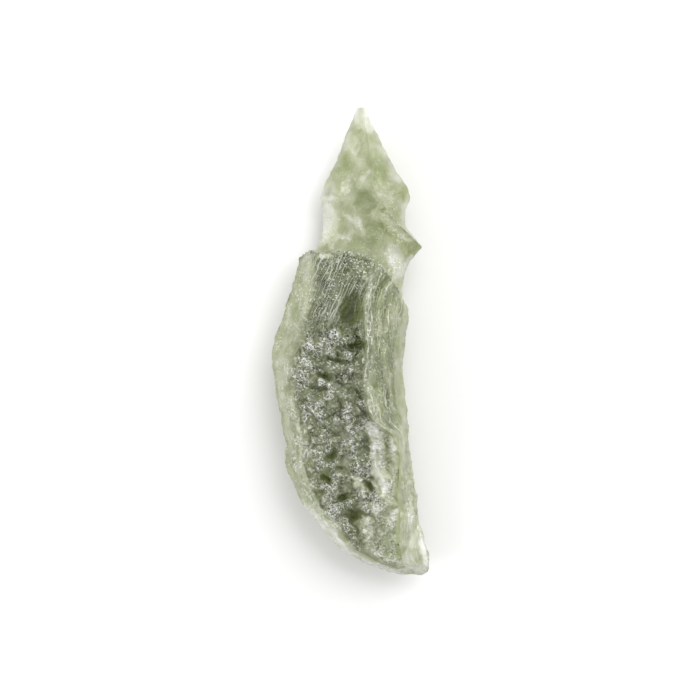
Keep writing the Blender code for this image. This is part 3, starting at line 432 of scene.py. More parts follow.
def stoneZones(grid, stations, places):
    # Weights from 0 to 1 for each kind of surface: products of ramps and windows on the place round the
    # stone, the station along it, x, y and the distance to the edges and the ridge, as seen from above.
    reach = zoneReach
    x, y = grid[..., 0], grid[..., 1]
    down = -y
    along = np.broadcast_to(stations[:, None], x.shape)
    around = np.broadcast_to(places[None, :], x.shape)
    toLeft, toRight, toRidge = [np.linalg.norm(grid[..., :2] - grid[:, places == place, :2], axis=-1)
                                for place in (0, edgePlace, ridgePlace)]
    toEdge = np.minimum(toLeft, toRight)
    flankPlace = linePlace["flankLine"]
    top = (around < edgePlace) * 1.0
    body = ramp(along, *reach["body"])
    spire = 1 - ramp(along, *reach["spire"])
    face = placesRound(around, "faceLeft", flankPlace) * body * top
    face = face * (1 - placesRound(around, "faceRight", ridgePlace))
    rightSide = placesRound(around, "rightSide", ridgePlace) * body * top
    lowFace = body * top * placesRound(around, "lowFaceLeft", flankPlace) * ramp(down, *reach["lowFaceTop"])
    # the band along the left edge, painted as the sheen of a facet that slopes towards the fill light on the
    # left
    sheenBand = window(toLeft, *reach["sheenBand"]) * (1 - ramp(y, *reach["bandTop"])) * ramp(y, *reach["bandFoot"])
    bandSide = (window(toLeft, *reach["bandSide"]) * ramp(down, *reach["bandSideTop"])
                * ramp(y, *reach["bandSideFoot"]))
    # the right flank's slanting end, and the line where the etching ends
    endX, endY, slope = flowLines["flankEnd"]
    aboveEnd = ramp(y - endY - slope * (x - endX), *reach["flankEnd"])
    limitY, limitX = np.array(sorted(etchedFace["rightLimit"])).T
    pastLimit = ramp(x - np.interp(y, limitY, limitX), *reach["pastLimit"])
    lumpFoot = ramp(down, *reach["lumpFoot"])
    # the pale facet's strip with wandering sides, and the triangle at the butt end
    facetY, facetLeft, facetRight = np.array(sorted(etchedFace["paleFacet"])).T
    strayed = x + etchedFace["wander"] * roughNoise(grid, etchedFace["facetWanderSize"], 86, 3)
    facetSides = np.interp(y, facetY, facetLeft), np.interp(y, facetY, facetRight)
    inFacet = window(strayed, *facetSides, reach["paleFacet"])
    apexX, apexY, spread, footY = etchedFace["buttFacet"]
    belowApex = apexY - y
    inTriangle = ramp(belowApex, *reach["triangleTop"])
    inTriangle = inTriangle * window(x - apexX, spread[0] * belowApex, spread[1] * belowApex,
                                     reach["triangleSides"])
    overFoot = ramp(y, *[footY + step for step in reach["triangleFoot"]])
    return {
        "top": top, "body": body, "toEdge": toEdge, "pits": face, "spire": spire,
        "sheenBand": sheenBand * top * body,
        "bandSide": bandSide * top * body,
        "edge": (1 - ramp(toEdge, *reach["edge"])) * body,
        "spireRim": (1 - ramp(toEdge, *reach["spireRim"])) * spire * top,
        "besideRidge": (1 - ramp(toRidge, *reach["besideRidge"])) * rightSide * aboveEnd,
        "rightRim": (1 - ramp(toEdge, *reach["rightRim"])) * rightSide * aboveEnd,
        "spurLine": (window(along, *reach["spurAlong"])
                     * placesRound(around, "spurAround", ridgePlace, edgePlace) * top),
        "lumps": (face * ramp(down, *reach["lumpTop"]) * (1 - lumpFoot) * ramp(toEdge, *reach["lumpEdge"])
                  * (1 - sheenBand * top * body) * (1 - pastLimit)),
        "upperFace": face * (1 - ramp(down, *reach["upperFace"])),
        "rightFlank": rightSide * aboveEnd,
        "lowRight": rightSide * (1 - aboveEnd),
        "lowFace": lowFace * np.maximum(pastLimit, lumpFoot) * (1 - rightSide),
        "crest": window(toRidge, *reach["crest"]) * top * ramp(down, *reach["crestTop"]),
        "leftFlank": (placesRound(around, "leftFlank", 0, flankPlace) * body
                      * ramp(toEdge, *reach["leftFlankEdge"])),
        "under": (placesRound(around, "under", edgePlace)
                  * ramp(len(lineNames) - around, *reach["under"])),
        "lip": window(along, *reach["lip"]) * top,
        "ledge": window(along, *reach["ledge"]) * top,
        "roughFacet": mound(x, y, *etchedFace["roughFacet"], blunt=reach["roughFacetBlunt"]) * top * body,
        "paleFacet": inFacet * window(y, facetY[0], facetY[-1], reach["paleFacetEnds"]) * top,
        "buttFacet": inTriangle * overFoot * top,
        "butt": inTriangle * (1 - overFoot) * top,
        "rim": ((1 - ramp(toEdge, *reach["rim"])) * ramp(down, *reach["rimTop"])
                * (1 - ramp(x, *reach["rimRight"])) * top),
    }


def flowCoordinates(grid, places, seed):
    # Each point's place across and along the lines of flow, counted in their spacing and length: from the
    # ridge on the right flank, from the left edge on the left, and across a lean on the upper face.
    x, y = grid[..., 0], grid[..., 1]
    around = np.broadcast_to(places[None, :], x.shape)
    fromRidge = np.linalg.norm((grid - grid[:, places == ridgePlace])[..., [0, 2]], axis=-1)
    fromLeft = np.linalg.norm((grid - grid[:, :1])[..., [0, 2]], axis=-1)
    upper, right, left = [flowLines[name] for name in ("upperFace", "rightFlank", "leftFlank")]
    c, s = math.cos(math.radians(upper["lean"])), math.sin(math.radians(upper["lean"]))
    leaning = (around > linePlace["flankLine"] + upper["past"]) & (y > upper["downTo"])
    flow = np.zeros_like(grid)
    for lines, here, across, along in (
            (left, np.full(x.shape, True), fromLeft, y),
            (upper, leaning, x * c - y * s, x * s + y * c),
            (right, around > ridgePlace, fromRidge, y)):
        place = np.stack([across, along, 0 * y], axis=-1)
        wander = lines["wander"] * roughNoise(place, flowLines["wanderSize"], seed, 3)
        counted = (across + wander) / lines["spacing"], along / lines["length"], 0 * y + seed
        flow = np.where(here[..., None], np.stack(counted, axis=-1), flow)
    return flow


def lumpTops(x, y):
    # 1 at the top of each lump, 0 between them: the highest mound at each point
    return np.max([mound(x, y, *lump, blunt=etchedFace["lumpBlunt"]) for lump in etchedFace["lumps"]], axis=0)


def etchedHeights(grid, zones):
    # the highest mound at each point and a leaning facet on it, less the pits
    x = grid[..., 0] + etchedFace["wander"] * softNoise(grid, etchedFace["wanderSize"], 3)
    y = grid[..., 1] + etchedFace["wander"] * softNoise(grid, etchedFace["wanderSize"], 4)
    lumps = (lumpTops(x, y) - etchedFace["lumpLevel"]) * etchedFace["lumpHeight"]
    pits = np.max([pit[-1] * mound(x, y, *pit[:5]) for pit in etchedFace["pits"]], axis=0)
    _, number, plane = pitCells(grid, etching["facetSize"], 5)
    facets = etching["facetLean"] * plane + etching["facetStep"] * (number - 0.5)
    etched = np.maximum(zones["lumps"], etchedFace["lowShare"] * zones["lowFace"])
    return (lumps + facets) * etched - pits * zones["pits"]


def flankWaves(flow):
    # broad waves along the right flank: a noise drawn out along the flow
    across = flow[..., 0] * flowLines["rightFlank"]["spacing"] / flowLines["waveSpacing"]
    along = flow[..., 1] * flowLines["rightFlank"]["length"] / flowLines["waveLength"]
    return softNoise(np.stack([across, along, 0 * along], axis=-1), 1.0, 32)


def topRelief(grid, zones, flow, waves):
    # height changes of the top, straight up and down, so the outline from above stays as it is
    x, y = grid[..., 0], grid[..., 1]
    height = etchedHeights(grid, zones)
    soft = ramp(zones["toEdge"], *scoopEdge["fade"]) * zones["top"]
    for scoop in scoops.values():
        height -= scoop[-1] * mound(x, y, *scoop[:5], blunt=scoopEdge["blunt"]) * soft
    lines = roughNoise(flow, flowLines["coarser"], 22, 2)
    flank = flowLines["waveDepth"] * waves + flowLines["flankDepth"] * lines
    height += (flank * zones["rightFlank"] * ramp(zones["toEdge"], *flowLines["fade"])
               + flowLines["faceDepth"] * lines * zones["upperFace"]
               + flowLines["leftDepth"] * lines * (zones["leftFlank"] + zones["lowRight"]))
    return height


def wormCrests(grid):
    # 1 on the middle level of a noise, 0 a little off it: worm-like closed lines
    return np.clip(1 - np.abs(softNoise(grid, etching["wormSize"], 43)) / etching["wormWidth"], 0, 1)


def fineRelief(grid, zones, worms):
    # worm-like crests, small pits on the left flank, chips along both edges, a crust on the ledge's lip and a
    # light overall unevenness, along the normals
    near, number, _ = pitCells(grid, etching["pitSize"], 45)
    pits = etching["pitDepth"] * (1 - ramp(near, *etching["pitRim"])) * ramp(number, *etching["pitShare"])
    uneven = roughNoise(grid, etching["unevenSize"], 51, 3) * (1 - etching["spireEven"] * zones["spire"])
    nearEdge = 1 - ramp(zones["toEdge"], *etching["chipReach"])
    chipped = nearEdge * np.maximum(zones["body"], etching["spireChips"])
    chips = etching["chipDepth"] * roughNoise(grid, etching["chipSize"], 55, 3) * chipped
    crust = etching["lipDepth"] * roughNoise(grid, etching["lipSize"], 57, 2) * zones["lip"]
    return (etching["uneven"] * uneven + etching["wormHeight"] * wormCrests(grid) * worms
            - pits * zones["leftFlank"] + chips + crust)


# The underside, which rests on the table: shallow dents and grooves.
underside = {
    "dentSize": (1.3, 1.7, 1.3), "dentDepth": 0.55,
    "dentRim": (0.0, 0.75),             # from the dent's bottom to its rim, in boxes
    "stray": 0.5, "straySize": 1.4,     # how far the dents' outlines stray, and over what length
    "lineDepth": 0.07,
    "flat": (0.01, 0.25),               # heights over which the relief fades in above the flat spot
}


def underRelief(grid, zones, flow):
    # the side that lies down: broad shallow dents and fine grooves, none on the flat spot
    strayed = grid + underside["stray"] * softNoise(grid, underside["straySize"], 61)[..., None]
    near, _, _ = pitCells(strayed, underside["dentSize"], 62)
    dents = underside["dentDepth"] * (1 - ramp(near, *underside["dentRim"]))
    grooves = underside["lineDepth"] * roughNoise(flow, flowLines["coarser"], 63, 2)
    clear = ramp(grid[..., 2], *underside["flat"])
    return (dents - grooves) * zones["under"] * clear


# The finish of each kind of surface and the light painted on it: how milky it is, how pale the milk, and how
# thick the worms, the flow lines and the white specks lie. The milkiness is partly the satin skin, but on the
# edge, the spire's rim, the left flank, the right rim, the low right, the low face, the pale facet and the
# rim the paler milk is painted light, for the light that comes through the thin glass there. The band along
# the left edge, the strip beside the ridge and the ridge's crest are a painted sheen, and the white marks are
# partly frost and partly painted glints. Where two kinds meet, the later one covers the earlier.
skinFinishAndPaintedLight = {
    "elsewhere": (0.30, 0.40, 0.15, 0.20, 0.15),
    "edge": (0.50, 0.50, 0.15, 0.30, 0.40),
    "spire": (0.44, 0.44, 0.10, 0.12, 0.25),
    "spireRim": (0.46, 0.66, 0.05, 0.10, 0.15),
    "ledge": (0.35, 0.45, 0.40, 0.20, 0.20),
    "leftFlank": (0.50, 0.64, 0.20, 0.20, 0.50),
    "upperFace": (0.13, 0.18, 0.20, 0.55, 0.75),
    "rightFlank": (0.40, 0.34, 0.05, 0.50, 0.50),
    "besideRidge": (0.36, 0.38, 0.40, 0.72, 0.80),
    "rightRim": (0.54, 0.72, 0.05, 0.15, 0.10),
    "lowRight": (0.46, 0.58, 0.40, 0.30, 0.40),
    "lowFace": (0.42, 0.52, 0.75, 0.10, 0.70),
    "lumps": (0.16, 0.30, 0.75, 0.00, 1.00),
    "sheenBand": (0.44, 0.48, 0.45, 0.32, 0.90),
    "bandSide": (0.30, 0.26, 0.35, 0.15, 0.90),
    "crest": (0.62, 0.52, 0.10, 0.20, 0.10),
    "lip": (0.30, 0.32, 0.45, 0.10, 0.90),
    "roughFacet": (0.26, 0.26, 0.30, 0.10, 1.00),
    "paleFacet": (0.50, 0.80, 0.80, 0.50, 0.80),
    "buttFacet": (0.66, 0.72, 0.00, 0.40, 0.10),
    "butt": (0.50, 0.90, 0.20, 0.20, 0.40),
    "rim": (0.58, 0.80, 0.85, 0.50, 0.90),
    "spurLine": (0.26, 0.15, 0.45, 0.10, 0.60),
    "under": (0.24, 0.35, 0.30, 0.25, 0.20),
}
# Places whose finish differs: x, y, half width, half length, turn in degrees, how much. Above 0 they are
# milkier and whiter, below 0 greener.
skinPatches = {
    "stray": 0.22, "straySize": 0.5,    # how far their outlines stray, and over what length
    "places": [
        (0.75, 15.70, 0.60, 1.10, 0, 0.30), (1.15, 14.95, 0.50, 0.60, 20, 0.45),
        (0.10, 15.10, 0.35, 0.50, 0, -0.15), (2.20, -15.05, 0.14, 0.90, 53, 1.00),
        (-0.60, -14.10, 0.16, 1.40, 38, 0.70), (-3.00, 3.60, 0.50, 1.90, -12, 0.35),
        (0.20, 13.60, 0.50, 0.90, -20, 0.35), (-0.50, 12.20, 0.85, 1.30, -22, -0.55),
        (4.30, 6.25, 0.28, 1.00, -42, -0.80), (4.24, 7.16, 0.45, 0.28, 0, 0.60),
        (5.15, -14.60, 0.35, 1.30, 12, 0.80), (0.53, -9.92, 0.35, 1.10, 32, 0.80),
        (2.00, -10.40, 0.20, 0.90, 35, 0.70), (2.35, -10.30, 0.14, 0.80, 35, 0.60),
        (-0.35, 10.75, 0.50, 0.60, -30, 0.60), (-1.30, 10.00, 0.80, 0.35, 0, 0.50),
        (0.25, 8.60, 0.95, 0.30, -20, 0.35), (0.75, 7.95, 0.30, 0.80, 20, 0.40),
        (-0.30, 7.35, 0.75, 0.35, 20, 0.50), (-1.40, 8.30, 0.80, 1.90, 0, 0.60),
        (2.40, 10.60, 0.50, 1.60, 25, 0.25), (3.20, 6.10, 0.80, 2.20, 0, 0.55),
        (2.60, 8.20, 0.35, 0.90, 40, 0.45), (-1.80, 5.90, 0.60, 0.25, 0, 1.00),
        (-1.30, 5.60, 0.40, 0.35, 0, 0.30), (1.02, 4.35, 0.14, 0.26, 30, 1.00),
        (2.95, -7.30, 0.22, 0.90, 15, 0.90), (2.40, -9.80, 0.30, 1.00, 20, 0.60),
        (3.10, -11.90, 0.45, 0.40, 0, 0.60), (1.15, -13.00, 0.60, 0.95, 10, 0.80),
        (1.70, -11.80, 0.60, 0.75, 10, 0.80), (1.75, -9.90, 0.45, 0.35, 30, 0.60),
        (1.60, 8.10, 0.80, 1.60, 10, -0.25), (0.60, 6.80, 1.70, 0.70, 30, -0.15),
        (0.95, 9.65, 0.60, 0.55, 0, -0.12), (2.95, 7.40, 0.35, 1.80, 45, -0.80),
        (2.00, 12.00, 0.60, 1.50, 20, -0.60), (3.70, 10.60, 0.35, 1.00, 0, -0.60),
        (0.60, 11.60, 0.12, 1.10, -28, -0.40), (1.00, 11.40, 0.10, 1.00, -28, 0.40),
        (2.45, -14.30, 1.00, 1.40, 35, -0.35), (2.52, -7.60, 0.24, 1.90, 0, -1.00),
        (2.75, -10.90, 0.50, 0.80, 0, -0.60), (2.20, -12.60, 0.35, 0.80, 20, -0.80),
        (0.30, -0.50, 1.20, 2.00, 0, -0.50), (1.80, 2.70, 0.75, 1.80, 0, -0.60),
        (-3.40, 3.00, 0.50, 2.40, -20, -0.40), (-1.55, -6.30, 0.50, 2.20, -10, -0.30),
    ],
}
# What the patches, the bowl's ring, the flank's waves, a noise, the smooth tops of some lumps, the etching of
# each facet and the pits change in the finishes. The waves paint light and shade: paler and milkier on their
# crests, greener in their troughs. What is lost is a share, and the rest is added.
finishAndPaintedLightChange = {
    "patch": {"blunt": 0.7, "pale": 0.45, "haze": 0.25, "hazeOnFace": 0.20, "glintSpecks": 0.4, "worms": 0.5,
              "wormsLost": 0.7},
    # a strip round the bowl, where its mound is low
    "ring": {"strip": (0.05, 0.10, 0.40), "pale": 0.16, "haze": 0.12},
    "waves": {"pale": 0.30, "haze": 0.20},
    "noise": {"size": 0.9, "pale": 0.20, "haze": 0.10},
    # on lumps above a height, where the facet's random number is low
    "smoothTop": {"height": (0.35, 0.55), "numbers": (0.28, 0.38), "haze": 0.08, "pale": 0.18,
                  "wormsLost": 0.75, "specksLost": 0.2},
    # fewer worms on each facet, or more where its number is high
    "facet": {"numbers": (0.45, 0.7), "more": 1.2, "less": 0.4},
    "pit": {"blunt": 0.5, "lost": 0.9},
}


def skinFinishesAndPaintedLight(grid, zones, waves):
    # the five finishes of each point, painted light among them, from its kinds of surface and then the
    # patches, lumps and waves
    names = ("haze", "pale", "worms", "lines", "glintSpecks")
    finishesAndPaintedLight = {name: np.full(grid.shape[:2], value) for name, value in zip(names, skinFinishAndPaintedLight["elsewhere"])}
    for zone, values in skinFinishAndPaintedLight.items():
        if zone in zones:
            for name, value in zip(names, values):
                finishesAndPaintedLight[name] += (value - finishesAndPaintedLight[name]) * zones[zone]
    stray, straySize = skinPatches["stray"], skinPatches["straySize"]
    x = grid[..., 0] + stray * roughNoise(grid, straySize, 84, 3)
    y = grid[..., 1] + stray * roughNoise(grid, straySize, 85, 3)
    patch, ringed, paintedWaveShade, noisy, smooth, facet, pitted = [
        finishAndPaintedLightChange[name] for name in ("patch", "ring", "waves", "noise", "smoothTop", "facet", "pit")]
    for place in skinPatches["places"]:
        here = place[-1] * mound(x, y, *place[:5], blunt=patch["blunt"]) * zones["top"]
        milkier, greener = np.clip(here, 0, None), np.clip(-here, 0, None)
        finishesAndPaintedLight["pale"] += patch["pale"] * here
        finishesAndPaintedLight["haze"] += (patch["haze"] + patch["hazeOnFace"] * zones["pits"]) * milkier
        finishesAndPaintedLight["glintSpecks"] += patch["glintSpecks"] * milkier
        finishesAndPaintedLight["worms"] += patch["worms"] * milkier * zones["pits"]
        finishesAndPaintedLight["worms"] *= 1 - patch["wormsLost"] * greener
    ring = window(mound(x, y, *scoops["bowl"][:5]), *ringed["strip"]) * zones["spire"]
    # painted light and shade on the right flank: paler and milkier on the waves' crests, greener in their
    # troughs
    shadedWaves = waves * zones["rightFlank"] * (1 - zones["rightRim"])
    noises = {"pale": roughNoise(grid, noisy["size"], 83, 2), "haze": roughNoise(grid, noisy["size"], 82, 3)}
    for name, noise in noises.items():
        finishesAndPaintedLight[name] += ringed[name] * ring + paintedWaveShade[name] * shadedWaves + noisy[name] * noise
    # a third of the lumps have smooth milky tops, and some facets are etched harder than others
    pits = np.max([mound(x, y, *pit[:5], blunt=pitted["blunt"]) for pit in etchedFace["pits"]], axis=0)
    _, number, _ = pitCells(grid, etching["facetSize"], 5)
    smoothTops = ramp(lumpTops(x, y), *smooth["height"]) * (1 - ramp(number, *smooth["numbers"]))
    smoothTops = smoothTops * zones["lumps"]
    finishesAndPaintedLight["haze"] += smooth["haze"] * smoothTops
    finishesAndPaintedLight["pale"] += smooth["pale"] * smoothTops
    harder = 1 + zones["lumps"] * (facet["more"] * ramp(number, *facet["numbers"]) - facet["less"])
    finishesAndPaintedLight["worms"] *= harder * (1 - smooth["wormsLost"] * smoothTops)
    finishesAndPaintedLight["glintSpecks"] *= 1 - smooth["specksLost"] * smoothTops
    for name in ("worms", "lines", "glintSpecks"):
        finishesAndPaintedLight[name] *= 1 - pitted["lost"] * pits * zones["pits"]
    return {name: np.clip(value, 0, 1) for name, value in finishesAndPaintedLight.items()}


def moldaviteSkin():
    # the skin between the long lines, moved straight up or down by the broad relief, then along its normals
    # by the fine relief and the dents underneath, and kept above the table
    stations = rowStations()
    grid, places = hullSkin(stations)
    print("skin:", len(stations), "rows of", len(places), "points")
    zones = stoneZones(grid, stations, places)
    flow, strands = flowCoordinates(grid, places, 71), flowCoordinates(grid, places, 76)
    waves = flankWaves(flow)
    finishesAndPaintedLight = skinFinishesAndPaintedLight(grid, zones, waves)
    base = grid.copy()
    grid[..., 2] += topRelief(base, zones, flow, waves)
    depth = fineRelief(base, zones, finishesAndPaintedLight["worms"]) - underRelief(base, zones, flow)
    clear = np.maximum(1 - zones["under"], ramp(base[..., 2], *underside["flat"]))
    grid = grid + outward(grid) * (depth * clear)[..., None]
    grid[..., 2] = np.maximum(grid[..., 2], 0)
    # white on the worms' crests: partly frost, partly painted glints of the lights
    finishesAndPaintedLight["crestFrostAndPaintedGlint"] = etching["wormFrostAndPaintedGlint"] * wormCrests(base) * finishesAndPaintedLight["worms"]
    return grid, places, finishesAndPaintedLight, {"flow": flow, "strands": strands}


def skinFaces(rows, columns):
    # four-sided faces between the rows, and a fan to a middle point over each end
    row, column = np.meshgrid(np.arange(rows - 1), np.arange(columns), indexing="ij")
    beside = (column + 1) % columns
    quads = np.stack([row * columns + column, (row + 1) * columns + column,
                      (row + 1) * columns + beside, row * columns + beside], axis=-1).reshape(-1, 4)
    ring = np.arange(columns)
    following = (ring + 1) % columns
    last = (rows - 1) * columns
    tipFan = np.stack([np.full(columns, rows * columns), ring, following], axis=-1)
    buttFan = np.stack([np.full(columns, rows * columns + 1), following + last, ring + last], axis=-1)
    return quads.tolist() + tipFan.tolist() + buttFan.tolist()


def sharpenLines(mesh, places, columns):
    # the edges between rows at the left edge, the ridge and the right edge keep their two sides' normals
    ends = np.empty(len(mesh.edges) * 2, dtype=np.int32)
    mesh.edges.foreach_get("vertices", ends)
    ends = ends.reshape(-1, 2)
    sharpColumns = np.flatnonzero(np.isin(places, [linePlace[name] for name in skinGrid["sharpLines"]]))
    sharp = (ends[:, 0] % columns == ends[:, 1] % columns) & np.isin(ends[:, 0] % columns, sharpColumns)
    mesh.attributes.new("sharp_edge", "BOOLEAN", "EDGE").data.foreach_set("value", sharp)


def buildStone():
    # one closed mesh: the skin's points, the mean of its first row and the mean of its last. Each point's
    # finishes, painted light among them, and place in the flow go along as attributes.
    grid, places, finishesAndPaintedLight, flows = moldaviteSkin()
    rows, columns = grid.shape[:2]
    ends = np.array([grid[0].mean(axis=0), grid[-1].mean(axis=0)])
    endFinishAndPaintedLight = [0.5, 0.5]      # of the two means
    points = np.concatenate([grid.reshape(-1, 3), ends]) * mm
    mesh = bpy.data.meshes.new("moldaviteStone")
    mesh.from_pydata(points.tolist(), [], skinFaces(rows, columns))
    mesh.shade_smooth()
    sharpenLines(mesh, places, columns)
    for name, weight in finishesAndPaintedLight.items():
        layer = mesh.attributes.new(name, "FLOAT", "POINT")
        layer.data.foreach_set("value", np.append(weight.ravel(), endFinishAndPaintedLight).astype(np.float32))
    for name, flow in flows.items():
        layer = mesh.attributes.new(name, "FLOAT_VECTOR", "POINT")
        layer.data.foreach_set("vector", np.append(flow.ravel(), 0 * ends.ravel()).astype(np.float32))
    stone = bpy.data.objects.new("moldaviteStone", mesh)
    bpy.context.scene.collection.objects.link(stone)
    return stone


# materials

def addNode(material, kind, settings=(), links=()):
    # one node: settings are its properties or, by name or number, its input values; links go to inputs
    node = material.node_tree.nodes.new(kind)
    for name, value in dict(settings).items():
        if isinstance(name, str) and hasattr(node, name):
            setattr(node, name, value)
        else:
            node.inputs[name].default_value = value
    for name, socket in dict(links).items():
        material.node_tree.links.new(socket, node.inputs[name])
    return node


# Moldavite is a natural silica glass, bottle green all through, whose skin the soil it lay in has etched. To
# the eye it is dark and clear where it is thick and clean, milky green where its skin is satin, and sprinkled
# with white glints on the etched crests. Here the paler milk on thin parts is painted light, for the light
# that comes through them, and the white marks are partly frost and partly painted glints.
glassLook = {
    "milkAndPaintedLight": ["#7F8D4A", "#9FAA75", "#BFC5A0", "#E6E8DC"],   # milky skin, from the greenest to the palest; the paler shades also paint the light that comes through thin glass
    "frostAndPaintedGlint": "#F2F2F1",         # the crests that etching left white, with the glints of the lights painted on them
    "ior": 1.49,
    "clearRoughness": 0.12,
    "satinRoughness": 0.55,
    "satinHaze": 0.6,            # how milky the skin is where it is fully satin
    "absorbColour": "#D5D8BA",   # what is left of white light after one absorption length
    "absorbPerMetre": 380.0,
    # Etched marks: their size, and where and how near a noise's level they turn white. Their white is partly
    # frost and partly painted glints of the lights. Real ones go down to about 0.05 mm, and these are drawn
    # two to four times as coarse, since a pixel of the render is 0.07 mm.
    "worm": {"size": 0.19, "detail": 1.0, "distortion": 0.3, "level": 0.50, "width": 0.090},
    "glintSpeck": {"size": 0.13, "detail": 0.0, "distortion": 0.0, "level": 0.71, "width": 0.18},
    # Lines of flow: how many in one spacing, how far they stray from it, and what part of it is white; that
    # white is partly frost and partly a painted sheen. They are drawn coarser than the finest real ones too.
    "line": {"perSpacing": 1.0, "stray": 6.0, "width": 0.35},
    "strand": {"perSpacing": 0.70, "stray": 6.0, "width": 0.20},
    "wobble": {"detail": 2.0, "detailScale": 3.0},
    # how strong a line is along its length, where the noise is low and high, in line spacings and lengths
    "strength": {"scale": 0.7, "detail": 1.0, "dull": 0.43, "bright": 0.62, "least": 0.18},
    # some facets catch more light than others: their size, and what the dullest keep of the worms and specks
    "catch": {"size": 0.8, "detail": 1.0, "dull": 0.38, "bright": 0.56, "least": 0.34},
    "frostiness": 0.95,         # how much of the clearness a fully white mark takes
    "etchHeight": 0.05,
}


